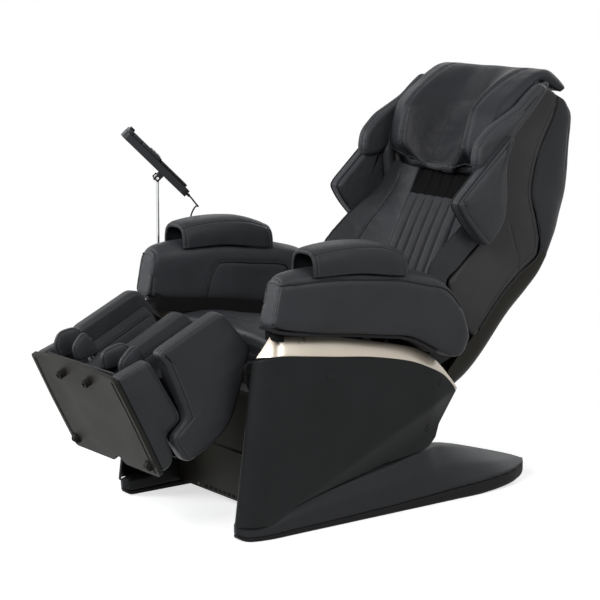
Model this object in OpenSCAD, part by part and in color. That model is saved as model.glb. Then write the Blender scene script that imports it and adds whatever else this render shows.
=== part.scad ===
// Reclining massage chair with leg rest, air cuffs on the arms and a remote on a stand.
// Millimetres, +Z up, the sitter faces -Y. The origin is on the floor, under the middle of the base pan.

/* [Seat] */
// Half of the seat cushion's width
seat_half = 262; // [252:1:272]
// Height of the cushion's front edge above the floor
seat_front_z = 548; // [538:1:556]
// How much lower the cushion's rear end lies
seat_fall = 62; // [50:1:70]

/* [Arms] */
// Clearance between the seat cushion and each arm
arm_gap = 4; // [3:0.5:8]
// Width of an arm at its middle
arm_w = 120; // [110:1:126]
// Thickness of the padding in an arm cuff
cuff_t = 12; // [8:1:16]
// Inside height of an arm cuff above the arm's crown
cuff_rise = 62; // [55:1:75]
// Distance that an arm slides back at full recline
arm_travel = 40; // [20:1:50]

/* [Side covers] */
// Distance from the cushion's edge to the cover's outer face
cover_reach = 83; // [79:1:90]
// Wall of the moulded covers
cover_t = 4; // [3:0.5:5]
// Depth of the scoop under the diagonal crease
cover_scoop = 40; // [20:1:46]

/* [Base] */
// Thickness of the steel floor pan
pan_t = 4; // [3:0.5:6]
// Side of the square steel tubes
tube = 30; // [24:1:34]
// Wall of the square steel tubes
tube_wall = 3; // [2:0.5:5]

/* [Backrest] */
// Lean of the backrest from the vertical
back_tilt = 26; // [22:0.5:30]
// Half of the pleated lumbar pad's width
pad_half = 122; // [110:1:130]
// Number of pleats in the lumbar pad
pleats = 6; // [4:1:8]
// Thickness of the lumbar pad between pleats
pad_t = 26; // [20:1:30]
// Width of a shoulder wing
wing_w = 56; // [50:1:64]
// Half of the head pillow's width at its top
pillow_half = 236; // [225:1:242]

/* [Massage drive] */
// Radius of the kneading rollers
roller_r = 22; // [18:1:25]
// Length of the carriage's travel up the back
carriage_travel = 300; // [200:5:330]
// Radius of the lifting screw
screw_r = 8; // [6:0.5:10]
// Distance between the centres of the left and right rollers
roller_pitch = 130; // [110:1:150]

/* [Leg rest] */
// Slope of the leg rest below the horizontal
leg_tilt = 26.5; // [20:0.5:32]
// Clearance between the leg rest and the seat cushion's edge line
calf_inset = 22; // [18:1:30]
// Width of the padded side walls beside the calves
wall_w = 52; // [40:1:58]
// Half of the hump's width between the two legs
hump_half = 46; // [36:1:54]
// Distance that the foot unit slides out
foot_travel = 80; // [50:5:80]
// Radius of the rollers on the sole
sole_roller_r = 13; // [10:0.5:15]

/* [Remote] */
// Radius of the chromed stand
pole_r = 5; // [4:0.5:6]
// Height of the remote's clamp above the floor
clamp_z = 930; // [900:1:960]
// Lean of the remote from the vertical
remote_tilt = 45; // [35:1:55]
// Length of the remote
remote_l = 265; // [250:1:290]
// Width of the remote
remote_w = 84; // [70:1:95]

/* [Hidden] */
$fn = 40;

// Places of the two main hinges, and what they need
back_pivot = [330, 400];
knee_pivot = [-340, 470];
pivot_pin_r = 9;
run_gap = 0.05;
soft_gap = 0.4;
seat_rear_y = 326;
seat_front_y = -272;
seat_low = 434;

// Widths that follow from the seat
arm_in = seat_half + arm_gap;
arm_out = arm_in + arm_w;
side_x = seat_half + cover_reach;
back_half = seat_half - 2;
calf_half = seat_half - calf_inset;
foot_half = calf_half - 15;
frame_x = seat_half - 27;
lug_t = 8;
lug_gap = 0.5;
seat_gap = 0.3;

// ---- shared functions -------------------------------------------------------

function unit(v) = v / norm(v);
function sgn(v) = v < 0 ? -1 : 1;
function spow(v, p) = sgn(v) * pow(abs(v), p);
function clamp01(v) = max(0, min(1, v));
function step01(v) = let (c = clamp01(v)) c * c * (3 - 2 * c);

// A point at s (0 to 1) on the smooth curve through the rows of P
function along(P, s) = let (n = len(P) - 1, u = s * n, i = min(floor(u), n - 1), f = u - i,
    a = P[max(i - 1, 0)], b = P[i], c = P[i + 1], d = P[min(i + 2, n)])
  0.5 * (2 * b + (c - a) * f + (2 * a - 5 * b + 4 * c - d) * f * f
    + (3 * b - a - 3 * c + d) * f * f * f);

// The outline P with each corner rounded off by r in k steps
function soften(P, r, k = 3) = let (n = len(P)) [for (i = [0:n - 1])
  let (a = P[(i + n - 1) % n], b = P[i], c = P[(i + 1) % n],
       ra = min(r, norm(a - b) * 0.45), rc = min(r, norm(c - b) * 0.45),
       p = b + unit(a - b) * ra, q = b + unit(c - b) * rc)
  for (j = [0:k]) let (t = j / k) (1 - t) * (1 - t) * p + 2 * t * (1 - t) * b + t * t * q];

// The outline P moved inwards by d, for outlines that run anticlockwise
function inset(P, d) = let (n = len(P)) [for (i = [0:n - 1])
  let (a = P[(i + n - 1) % n], c = P[(i + 1) % n], e = unit(c - a)) P[i] + d * [-e[1], e[0]]];

// One rounded-box ring between a low edge a and a high edge b, given as [y, z]
function ring(x0, x1, a, b, crown, e, n) = let (up = unit(b - a)) [for (i = [0:n - 1])
  let (t = 360 * i / n, cx = spow(cos(t), 2 / e), sz = spow(sin(t), 2 / e), w = (1 + sz) / 2,
       lift = crown * (1 - cx * cx) * max(0, sz))
  [(x0 + x1) / 2 - (x1 - x0) / 2 * cx,
   a[0] + (b[0] - a[0]) * w + lift * up[0],
   a[1] + (b[1] - a[1]) * w + lift * up[1]]];

// A closed skin over rings of equally many points, with a fan over each end
module skin(rings, c0 = undef, c1 = undef) {
  n = len(rings[0]);
  m = len(rings);
  mid0 = c0 == undef ? [for (k = [0:2]) [for (p = rings[0]) 1] * [for (p = rings[0]) p[k]] / n] : c0;
  mid1 = c1 == undef
    ? [for (k = [0:2]) [for (p = rings[m - 1]) 1] * [for (p = rings[m - 1]) p[k]] / n] : c1;
  points = [for (r = rings) each r, mid0, mid1];
  sides = [for (j = [0:m - 2], i = [0:n - 1])
    let (a = j * n + i, b = j * n + (i + 1) % n) each [[a, a + n, b], [b, a + n, b + n]]];
  ends = [for (i = [0:n - 1]) each
    [[m * n, i, (i + 1) % n], [m * n + 1, (m - 1) * n + (i + 1) % n, (m - 1) * n + i]]];
  polyhedron(points, concat(sides, ends));
}

// A thin curved wall between two grids of points of the same size
module sheet(outer, inner) {
  m = len(outer);
  n = len(outer[0]);
  k = m * n;
  points = concat([for (r = outer) each r], [for (r = inner) each r]);
  faces = concat(
    [for (j = [0:m - 2], i = [0:n - 2]) let (a = j * n + i) each
      [[a, a + n, a + 1], [a + 1, a + n, a + n + 1],
       [k + a, k + a + 1, k + a + n], [k + a + 1, k + a + n + 1, k + a + n]]],
    [for (j = [0:m - 2]) let (a = j * n, b = a + n - 1) each
      [[a, k + a, a + n], [a + n, k + a, k + a + n],
       [b, b + n, k + b], [b + n, k + b + n, k + b]]],
    [for (i = [0:n - 2]) let (a = i, b = (m - 1) * n + i) each
      [[a, a + 1, k + a], [a + 1, k + a + 1, k + a],
       [b, k + b, b + 1], [b + 1, k + b, k + b + 1]]]);
  polyhedron(points, faces);
}

// A padded piece through stations of [low y, low z, high y, high z, x0, x1, crown]
module padded(stations, rings = 10, e = 4, n = 20) {
  skin([for (j = [0:rings]) let (q = along(stations, j / rings))
    ring(q[4], q[5], [q[0], q[1]], [q[2], q[3]], q[6], e, n)]);
}

// A padded panel: the outline P in Y and Z, from x0 to x1, with rounded rims and full faces
module plush(P, x0, x1, r, rim, bulge, hub, under = 0, k = 3) {
  O = soften(P, r, k);
  c = hub;
  levels = [[x0, rim], [x0 + rim * 0.4, rim * 0.25], [x0 + rim, 0],
    [x1 - rim, 0], [x1 - rim * 0.4, rim * 0.25], [x1, rim]];
  skin([for (l = levels) [for (p = inset(O, l[1])) [l[0], p[0], p[1]]]],
    [x0 - under, c[0], c[1]], [x1 + bulge, c[0], c[1]]);
}

// Children on one side of the chair, +1 for the sitter's left
module on_side(side) { if (side > 0) children(); else mirror([1, 0, 0]) children(); }
// Frames of the two big moving parts, with their hinge at the origin
module on_back() {
  translate([0, back_pivot[0], back_pivot[1]]) rotate([-back_tilt, 0, 0]) children();
}
module on_leg() {
  translate([0, knee_pivot[0], knee_pivot[1]]) rotate([leg_tilt, 0, 0]) children();
}
// A round bar along X, from x0 to x1, through a point [y, z]
module bar_x(x0, x1, at, r) {
  translate([x0, at[0], at[1]]) rotate([0, 90, 0]) cylinder(h = x1 - x0, r = r);
}
// A square tube along X or Y with its low corner at p
module tube_x(p, l) {
  translate(p) difference() {
    cube([l, tube, tube]);
    translate([-1, tube_wall, tube_wall]) cube([l + 2, tube - 2 * tube_wall, tube - 2 * tube_wall]);
  }
}
module tube_y(p, l) {
  translate(p) difference() {
    cube([tube, l, tube]);
    translate([tube_wall, -1, tube_wall]) cube([tube - 2 * tube_wall, l + 2, tube - 2 * tube_wall]);
  }
}

// ---- base ---------------------------------------------------------------

// Stations of the boat-shaped foot: y, rim bottom, rim top, ridge x, ridge z, outer x, inner x
foot_line = [
  [-424, 16, 20, 0.872, 42, 0.878, 0.84],
  [-412, 4, 14, 0.885, 41, 0.915, 0.8],
  [-388, 0, 12, 0.925, 39, 0.965, 0.8],
  [-330, 0, 13, 0.958, 38, 1.0, 0.8],
  [-250, 0, 15, 0.955, 70, 1.0, 0.8],
  [-120, 0, 17, 0.935, 104, 1.0, 0.8],
  [100, 0, 23, 0.91, 134, 1.0, 0.8],
  [200, 0, 27, 0.882, 149, 1.0, 0.8],
  [265, 0, 30, 0.85, 157, 1.0, 0.8],
  [330, 0, 33, 0.77, 157, 1.0, 0.66],
  [440, 0, 37, 0.71, 132, 1.0, 0.56],
  [560, 8, 44, 0.7, 98, 0.97, 0.56],
  [640, 18, 52, 0.72, 74, 0.88, 0.6],
  [672, 34, 56, 0.76, 63, 0.8, 0.7]];
rim_lip = 1.5;

// Moulded upper shell of a foot: flat inside, and sloping down to the rim outside
module base_shell(side) color("#57585a") on_side(side)
  skin([for (j = [0:24]) let (q = along(foot_line, j / 24), x = side_x)
    [[q[6] * x, q[0], q[2]], [q[6] * x, q[0], q[4] - 4], [q[3] * x - 8, q[0], q[4]],
     [q[3] * x, q[0], q[4] - 2], [(q[3] + q[5]) / 2 * x + 4, q[0], (q[2] + q[4]) / 2 + 4],
     [q[5] * x, q[0], q[2] + 4], [q[5] * x, q[0], q[2]]]]);

// Black rubber rims that the feet stand on
module base_rims() color("#18181a") for (side = [1, -1]) on_side(side)
  skin([for (j = [0:24]) let (q = along(foot_line, j / 24), x = side_x, low = max(0, q[1]))
    [[q[6] * x, q[0], low], [q[6] * x, q[0], q[2]],
     [q[5] * x + rim_lip, q[0], q[2]], [q[5] * x + rim_lip, q[0], low + 3],
     [q[5] * x - 3, q[0], low]]]);

pan_x = side_x * 0.6;
pan_front = -180;
pan_rear = 268;
foot_in = 0.8 * side_x;
post_y = [-160, 170];
// Steel floor pan with two cross tubes and the brackets of the drives
module base_pan() color("#3c3d3f") {
  translate([-pan_x, pan_front, 0]) cube([2 * pan_x, pan_rear - pan_front, pan_t]);
  for (y = post_y) tube_x([-foot_in, y, pan_t], 2 * foot_in);
}

// Outline of the side cover, from the front foot to the rear tip, as [y, z]
cover_low = [[-430, 44], [-372, 41.5], [-318, 42], [-249, 79], [-115, 108], [103, 139], [250, 161],
  [297, 190]];
cover_high = [[-368, 505], [-335, 511], [-288, 512.5], [-200, 502], [-112, 490], [21, 473], [158, 444],
  [241, 412], [295, 383], [349, 330]];
crease_a = [-299, 62];
crease_b = [277, 310];
// Outer face of the cover at [y, z]: rounded at the front, scooped under the crease
function cover_x(y, z) =
  let (front = -430 + (z - 44) * 62 / 461, w = 1 - clamp01((y - front) / 75),
       d = unit(crease_b - crease_a), below = (y - crease_a[0]) * d[1] - (z - crease_a[1]) * d[0],
       under = (below + sqrt(below * below + 300)) / 2)
  side_x - 45 * (1 - sqrt(1 - w * w)) - min(cover_scoop, 0.45 * under) - 10 * step01((y - 240) / 110);
function cover_point(s, t, depth) =
  let (a = along(cover_low, s), b = along(cover_high, s), p = a + (b - a) * t,
       front = -430 + (p[1] - 44) * 62 / 461, w = 1 - clamp01((p[0] - front) / 75))
  [cover_x(p[0], p[1]) - depth, p[0] + depth * w, p[1]];
cover_cols = 22;
cover_rows = 9;
function cover_grid(depth) = [for (j = [0:cover_cols])
  [for (i = [cover_rows:-1:0]) cover_point(j / cover_cols, i / cover_rows, depth)]];
module side_cover(side) color("#4b4c4e") on_side(side) sheet(cover_grid(0), cover_grid(cover_t));

// Band between cover and arm: its upper edge as [y, z], and the depth of both edges below side_x
trim_high = [[-308, 568], [-290, 567], [-260, 563], [-120, 547], [46, 513], [184, 479], [256, 443],
  [300, 404], [348, 342]];
trim_depth = [[43, 40], [8, 30], [1, 25], [0, 23], [0, 22], [0, 22], [1, 22], [4, 20], [9, 12]];
trim_t = 3;
trim_start = 0.05;
function trim_point(s, t, depth) = let (
    a = along(cover_high, trim_start + (0.99 - trim_start) * s) + [0, 0.6],
    b = along(trim_high, s), p = a + (b - a) * t, d = along(trim_depth, s))
  [side_x - d[0] - (d[1] - d[0]) * t - depth, p[0] + depth * (1 - clamp01(s * 6)), p[1]];
function trim_grid(depth) = [for (j = [0:cover_cols])
  [for (i = [2:-1:0]) trim_point(j / cover_cols, i / 2, depth)]];
module trims() color("#c9b8a0") for (side = [1, -1]) on_side(side) sheet(trim_grid(0), trim_grid(trim_t));

// Lower front panel between the side covers, with a fold at its seam
skirt_y = -230;
skirt_steps = [20, 78, 130];
// Half width of the skirt up to each step: inside the base shells, then inside the scooped covers
function skirt_half(z) = cover_x(skirt_y, z) - cover_t - seat_gap - 0.7;
function skirt_plate(i) = [[0, skirt_steps[i]], [4, skirt_steps[i]], [4, skirt_steps[i + 1]],
  [0, skirt_steps[i + 1]]];
module skirt_part(half, P)
  translate([-half, skirt_y, 0]) rotate([90, 0, 90]) linear_extrude(2 * half) polygon(P);
module front_skirt() color("#4c4a42") {
  skirt_part(foot_in - seat_gap, skirt_plate(0));
  skirt_part(skirt_half(skirt_steps[1]), skirt_plate(1));
  skirt_part(skirt_half(skirt_steps[2]), [[0, skirt_steps[2]], [4, skirt_steps[2]], [4, 164], [12, 168],
    [34, 330], [34, 372], [30, 372], [30, 331], [8, 171], [0, 167]]);
}

// Power unit's place, and the appliance inlet in its rear wall
power_x = [-200, -80];
power_y = [204, 258];
inlet_x = -140;
inlet_z = 51;
inlet_w = 30;
inlet_h = 22;
inlet_depth = 24;
// Rear panel between the side covers, low enough to clear the backrest's shell
rear_y = 262;
rear_half = side_x * 0.77;
module rear_panel() color("#3f4042") difference() {
  translate([-rear_half, rear_y, 0]) rotate([90, 0, 90]) linear_extrude(2 * rear_half)
    polygon([[0, pan_t], [4, pan_t], [4, 70], [26, 240], [22, 240], [0, 70]]);
  translate([inlet_x - inlet_w / 2 - 5, rear_y - 2, inlet_z - inlet_h / 2 - 5])
    cube([inlet_w + 10, 12, inlet_h + 10]);
}

// ---- seat ---------------------------------------------------------------

seat_tube_z = seat_low - seat_gap - 1 - tube;
seat_tube_y0 = -262;
seat_tube_y1 = 250;
seat_cross_y = 160;
// Knee hinge: eye plate of the leg rest outside its walls, then the lug of the seat frame
knee_eye_x = calf_half + 2;
knee_eye_t = 6;
knee_lug_x = knee_eye_x + knee_eye_t + lug_gap;
// Slide rail under each arm
arm_rail_x = arm_in + 34;
arm_rail_z = 500;
arm_rail_r = 8;
// Shoes of the arm tray on the rail, and the rail's length behind them for the arm's travel
shoe_y = [-150, 10];
shoe_l = 30;
arm_rail_y = [shoe_y[0] - 40, shoe_y[1] + shoe_l + arm_travel + 12];
rail_post_t = 10;
cover_hold_z = 375;
// Seat frame: a ring of tubes on four posts, with the hinge lugs, arm rails and cover brackets
module seat_frame() color("#2e2f31") {
  for (side = [1, -1]) on_side(side) {
    x0 = frame_x - tube;
    tube_y([x0, seat_tube_y0, seat_tube_z], seat_tube_y1 - seat_tube_y0);
    for (y = post_y) {
      translate([x0, y, pan_t + tube]) cube([tube, tube, seat_tube_z - pan_t - tube]);
      // Bracket that carries the side cover
      translate([x0 + 2, y + 5, cover_hold_z])
        cube([cover_x(y + tube / 2, cover_hold_z) - cover_t - seat_gap - x0 - 2, 20, 20]);
    }
    // Outer lugs with the hinge pins
    translate([frame_x - 1, seat_tube_y0 + 6, seat_tube_z]) cube([knee_lug_x - frame_x + 2, 30, tube - 4]);
    hinge_lug([seat_tube_y0 + 21, seat_tube_z + 8], knee_pivot, knee_lug_x, lug_t);
    bar_x(knee_eye_x - 0.5, knee_lug_x + 1, knee_pivot, pivot_pin_r);
    hinge_lug([seat_tube_y1 - 40, seat_tube_z + tube / 2], back_pivot, frame_x, lug_t);
    bar_x(frame_x - lug_gap - lug_t - 2, frame_x + 1, back_pivot, pivot_pin_r);
    // Arm rail on two outriggers
    translate([arm_rail_x, arm_rail_y[0] - 1, arm_rail_z]) rotate([-90, 0, 0])
      cylinder(h = arm_rail_y[1] - arm_rail_y[0] + 2, r = arm_rail_r);
    for (y = [arm_rail_y[0] - rail_post_t, arm_rail_y[1]]) {
      translate([frame_x - 2, y, seat_tube_z + 2]) cube([arm_rail_x + 10 - frame_x + 2, rail_post_t, 22]);
      translate([arm_rail_x - 10, y, seat_tube_z + 2])
        cube([20, rail_post_t, arm_rail_z + arm_rail_r - seat_tube_z - 2]);
    }
  }
  for (y = [seat_tube_y0, seat_cross_y])
    tube_x([-frame_x + tube - 1, y, seat_tube_z], 2 * (frame_x - tube + 1));
}
// A flat lug from a root point to a round eye, lying against x
module hinge_lug(root, eye, x, t) {
  d = eye - root;
  translate([x, root[0], root[1]]) rotate([atan2(d[1], d[0]), 0, 0])
    translate([0, -8, -11]) cube([t, norm(d) + 8, 22]);
  bar_x(x, x + t, eye, 18);
}

// Leather seat cushion, crowned and sloping down to the rear
module seat_cushion() color("#3d4046") {
  z1 = seat_front_z;
  z2 = seat_front_z - seat_fall;
  h = seat_half;
  padded([
    [seat_front_y + 20, seat_low + 12, seat_front_y + 4, z1 - 34, -h + 12, h - 12, 2],
    [seat_front_y + 30, seat_low, seat_front_y + 18, z1 - 4, -h + 3, h - 3, 8],
    [seat_front_y + 90, seat_low, seat_front_y + 90, z1, -h, h, 16],
    [-60, seat_low, -60, z1 - seat_fall * 0.35, -h, h, 16],
    [120, seat_low, 120, z1 - seat_fall * 0.75, -h, h, 12],
    [270, seat_low, 270, z2 - 2, -h + 1, h - 1, 8],
    [seat_rear_y - 10, seat_low + 4, seat_rear_y - 6, z2 - 8, -h + 8, h - 8, 4],
    [seat_rear_y - 2, seat_low + 14, seat_rear_y, z2 - 22, -h + 18, h - 18, 1]], 12, 5, 28);
}

// ---- arms ---------------------------------------------------------------

// Stations of the padded arm: low y, low z, high y, high z, inner and outer x, crown
arm_line = [
  [-332, 600, -309, 706, arm_in + 20, arm_out - 34, 6],
  [-326, 594, -304, 716, arm_in + 15, arm_out - 28, 14],
  [-286, 584, -272, 722, arm_in + 10, arm_out - 20, 22],
  [-180, 568, -180, 726, arm_in + 1, arm_out - 4, 24],
  [-60, 553, -62, 724, arm_in, arm_out, 22],
  [50, 536, 48, 708, arm_in, arm_out - 2, 22],
  [140, 520, 160, 690, arm_in, arm_out - 6, 20],
  [212, 486, 256, 662, arm_in, arm_out - 8, 16],
  [276, 450, 322, 602, arm_in + 1, arm_out - 8, 8],
  [318, 440, 350, 540, arm_in + 2, arm_out - 8, 4],
  [342, 456, 362, 500, arm_in + 8, arm_out - 14, 1]];
module arm(side) color("#4a4b4e") on_side(side) padded(arm_line, 16, 6, 24);

arm_rings = 16;
tray_t = 9;
// Plastic tray under the arm, with two shoes that slide on the arm rail
module arm_tray(side) color("#2a2926") on_side(side) difference() {
  top = [for (j = [1:12]) let (q = along(arm_line, j / arm_rings)) [q[0], q[1] - seat_gap]];
  union() {
    translate([arm_in + 18, 0, 0]) rotate([90, 0, 90]) linear_extrude(arm_w - 44)
      polygon(concat([for (i = [0:11]) top[i] - [0, tray_t]], [for (i = [11:-1:0]) top[i]]));
    for (y = shoe_y) translate([arm_rail_x - 12, y, arm_rail_z - 12])
      cube([24, shoe_l, lookup(y + shoe_l, [for (p = top) [p[0], p[1]]]) - tray_t + 2 - arm_rail_z + 12]);
  }
  for (y = shoe_y) translate([arm_rail_x, y - 1, arm_rail_z]) rotate([-90, 0, 0])
    cylinder(h = shoe_l + 2, r = arm_rail_r + run_gap);
}

// Air cuff over the arm: a padded arch that the hand slides under. Each row gives the place along
// the arm, the drop of the crown, the draw-in of the sides and the lift of the feet
cuff_line = [[0.27, 24, 4, 3.5], [0.29, 18, 0, 3.5], [0.35, 8, 0, 3.5], [0.45, 8, 2, 3.5], [0.51, 22, 5, 5],
  [0.54, 40, 12, 9]];
cuff_steps = 14;
function cuff_point(c, i, t) = let (q = along(arm_line, c[0]), a = 180 * i / cuff_steps,
    rx = (q[5] - q[4]) / 2 + 6 - c[2] - t, z0 = q[3] + c[3], top = q[3] + q[6] + cuff_rise + cuff_t - c[1])
  [(q[4] + q[5]) / 2 + rx * spow(cos(a), 0.7), q[2], z0 + (top - z0 - t) * spow(sin(a), 0.8)];
function cuff_grid(depth) = [for (j = [0:8]) let (c = along(cuff_line, j / 8))
  [for (i = [cuff_steps:-1:0]) cuff_point(c, i, depth)]];
module cuff(side) color("#484b50") on_side(side) sheet(cuff_grid(0), cuff_grid(cuff_t));

// ---- backrest, in its own frame: hinge at the origin, z up the back, y to the rear ----------

pad_y = -12;
side_t = 24;
side_bulge = 0.6;
back_inner = back_half - side_t;
// Seam between side panel and rear cover
seam_line = [[110, 122], [148, 258], [190, 353], [240, 446], [181, 536], [124, 600], [98, 716],
  [104, 852], [84, 905]];
side_front = [[18, 908], [-6, 800], [-40, 712], [-38, 645], [40, 520], [44, 470], [-6, 362], [-62, 240],
  [0, 150]];
seam_steps = 14;
// Padded side panel of the backrest
module back_side(side) color("#505154") on_back() on_side(side)
  plush(concat([for (j = [0:seam_steps]) along(seam_line, j / seam_steps)], side_front),
    back_inner, back_half, 10, 8, side_bulge, [60, 560], k = 1);

// Stations of the upholstered rear cover: seam y, z, depth, half width
cover_stations = [[243, 451, 54, 0], [219, 500, 88, 0], [183, 540, 134, 0], [128, 600, 190, 0],
  [113, 657, 200, 2], [101, 716, 194, 4], [101, 790, 158, 6], [107, 852, 124, 8], [88, 905, 112, 11]];
back_cover_t = 8;
u_steps = 14;
function u_point(x, a0, d, a, t) = let (cx = spow(cos(a), 0.42), sz = spow(sin(a), 0.42))
  [(x - t) * cx, a0[0] + (d[0] * (1 - t / norm(d))) * sz, a0[1] + (d[1] * (1 - t / norm(d))) * sz];
function back_cover_grid(depth) = [for (j = [0:16]) let (q = along(cover_stations, j / 16))
  [for (i = [0:u_steps])
    u_point(back_half - 2 - q[3], [q[0], q[1]], [q[2], 0], 180 * i / u_steps, depth)]];
module back_cover() color("#3c3e42") on_back() sheet(back_cover_grid(0), back_cover_grid(back_cover_t));

// Moulded lower shell: front edge y, z, then the way to its rear face, and the draw-in of its width
shell_stations = [[70, -30, 64, -22, 26], [90, 44, 90, -34, 22], [114, 122, 94, -34, 16],
  [152, 258, 92, -36, 12], [194, 352, 86, -34, 8], [222, 402, 76, -16, 4], [243, 442, 55, 0, 2]];
shell_t = 4;
shell_lift = 0.4;
function shell_grid(depth) = [for (j = [0:12]) let (q = along(shell_stations, j / 12))
  [for (i = [0:u_steps])
    u_point(back_half - q[4], [q[0] - shell_lift, q[1] + shell_lift], [q[2], q[3]],
      180 * i / u_steps, depth)]];
module back_shell() color("#4d4c44") on_back() sheet(shell_grid(0), shell_grid(shell_t));

wing_in = back_half + side_bulge + soft_gap - 0.1;
wing_outline = [[-12, 366], [16, 440], [14, 490], [-20, 560], [-52, 620], [-64, 706], [-78, 706], [-90, 674],
  [-180, 452], [-172, 436], [-124, 408]];
// Shoulder wing: a padded kite beside the panel
module wing(side) color("#4a4c50") on_back() on_side(side)
  plush(wing_outline, wing_in, wing_in + wing_w, 24, 10, 5, [-70, 520]);

// Side bolster between the pad and the panel: z, how far its outer edge stands forward, panel front
bolster_line = [[96, 36, 18], [140, 62, 0], [187, 108, -36], [237, 148, -72], [287, 140, -48],
  [347, 114, -22], [412, 80, 9], [467, 42, 18], [517, 16, 18], [562, 10, 6], [596, 8, -15]];
bolster_back = 18;
module bolster(side) color("#43464b") on_back() on_side(side)
  skin([for (j = [0:18]) let (q = along(bolster_line, j / 18), x0 = pad_half + soft_gap, x1 = back_half,
      w = x1 - x0, xs = back_inner - soft_gap, back = min(q[2], bolster_back))
    concat([for (i = [0:6]) let (t = i / 6)
        [x0 + w * t - (i == 6 ? 2 : 0), pad_y - 4 * sin(180 * t) - q[1] * pow(t, 1.7), q[0]]],
      [[x1, pad_y - q[1] + 6, q[0]], [x1, back, q[0]], [xs, back, q[0]], [xs, bolster_back + 0.5, q[0]],
       [x0, bolster_back, q[0]]])]);

pad_low = 92;
pad_high = 503;
pleat_depth = 12;
pleat_steps = 4;
// Pleated lumbar pad
module back_pad() color("#404348") on_back() {
  n = pleats * pleat_steps;
  skin([for (j = [0:8]) let (t = j / 8, z = pad_low + (pad_high - pad_low) * t,
      full = pow(max(0, sin(180 * (0.04 + 0.92 * t))), 0.35))
    concat([for (i = [0:n]) [-pad_half + 2 * pad_half * i / n,
        pad_y - pleat_depth * full * abs(sin(180 * i / pleat_steps)), z]],
      [[pad_half, pad_y + pad_t, z], [-pad_half, pad_y + pad_t, z]])]);
}

// Rows of the cloth as z, y and half width: narrow between the bolsters, then full
cloth_wide = back_inner - soft_gap;
cloth_rows = [[506, -6, pad_half], [530, -3, pad_half], [560, 1, pad_half], [598, 6, pad_half],
  [604, 8.6, cloth_wide], [650, 8.6, cloth_wide], [700, 8.6, cloth_wide], [760, 8.6, cloth_wide],
  [800, 8.6, cloth_wide], [830, 8.6, cloth_wide], [884, 9.4, cloth_wide]];
cloth_t = 3;
function cloth_row(p, t) = [for (i = [0:8]) [p[2] * (i / 4 - 1), p[1] + t - 3 * sin(135 * i), p[0]]];
// Stretch cloth that the kneading rollers press through, behind the neck and head
module neck_cloth() color("#232325") on_back()
  sheet([for (p = cloth_rows) cloth_row(p, 0)], [for (p = cloth_rows) cloth_row(p, cloth_t)]);

// Stations of the head pillow, each as [y, z] of its rear, of its sunk middle and of its side crests,
// then the rear of the crests, the half width below the top's and the crests' lean outwards
pillow_line = [
  [[-12, 608], [-24, 603], [-48, 622], [-42, 626], 26], [[2, 616], [-32, 606], [-84, 636], [-44, 646], 8],
  [[5, 640], [-31, 628], [-100, 655], [-45, 664], 2], [[5, 700], [-28, 702], [-114, 705], [-46, 710], 0],
  [[5, 760], [-23, 760], [-119, 758], [-44, 760], 0], [[5, 810], [-20, 810], [-100, 812], [-24, 806], 0],
  [[5, 860], [-14, 862], [-68, 866], [-8, 856], 0], [[6, 892], [-4, 904], [-38, 906], [4, 892], 0],
  [[14, 916], [12, 944], [-2, 942], [14, 915], 0], [[40, 920], [42, 965], [40, 964], [40, 919], 0],
  [[72, 915], [84, 953], [84, 951], [72, 914], 2], [[110, 899], [120, 926], [120, 924], [110, 898], 6]];
pillow_flat = 0.58;
pillow_crest = 0.9;
pillow_n = 16;
// One ring of the pillow: over the front from -x to +x, then back along its rear
function pillow_ring(q, half) = concat(
  [for (i = [-pillow_n:pillow_n]) let (u = i / pillow_n,
      k = step01((abs(u) - pillow_flat) / (pillow_crest - pillow_flat)),
      drop = pow(max(0, (abs(u) - pillow_crest) / (1 - pillow_crest)), 3) * 0.55,
      c = q[1] + (q[2] - q[1]) * k, p = c + (q[3] - c) * drop)
    [half * u, p[0], p[1]]],
  [for (u = [0.97, 0.9, -0.9, -0.97]) let (p = abs(u) > 0.95 ? q[3] : q[0]) [half * u, p[0], p[1]]]);
module head_pillow() color("#3a3d42") on_back()
  skin([for (j = [0:22]) let (q = [for (k = [0:3]) along([for (p = pillow_line) p[k]], j / 22)],
    h = along([for (p = pillow_line) [p[4], 0]], j / 22)) pillow_ring(q, pillow_half + 8 - h[0])]);

// Steel frame of the backrest: lugs, uprights, cross tubes, carriage rails and screw bearings
upright_x = back_inner - seat_gap - tube;
upright_y = 80;
rail_r = 7;
rail_x = 136;
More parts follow.
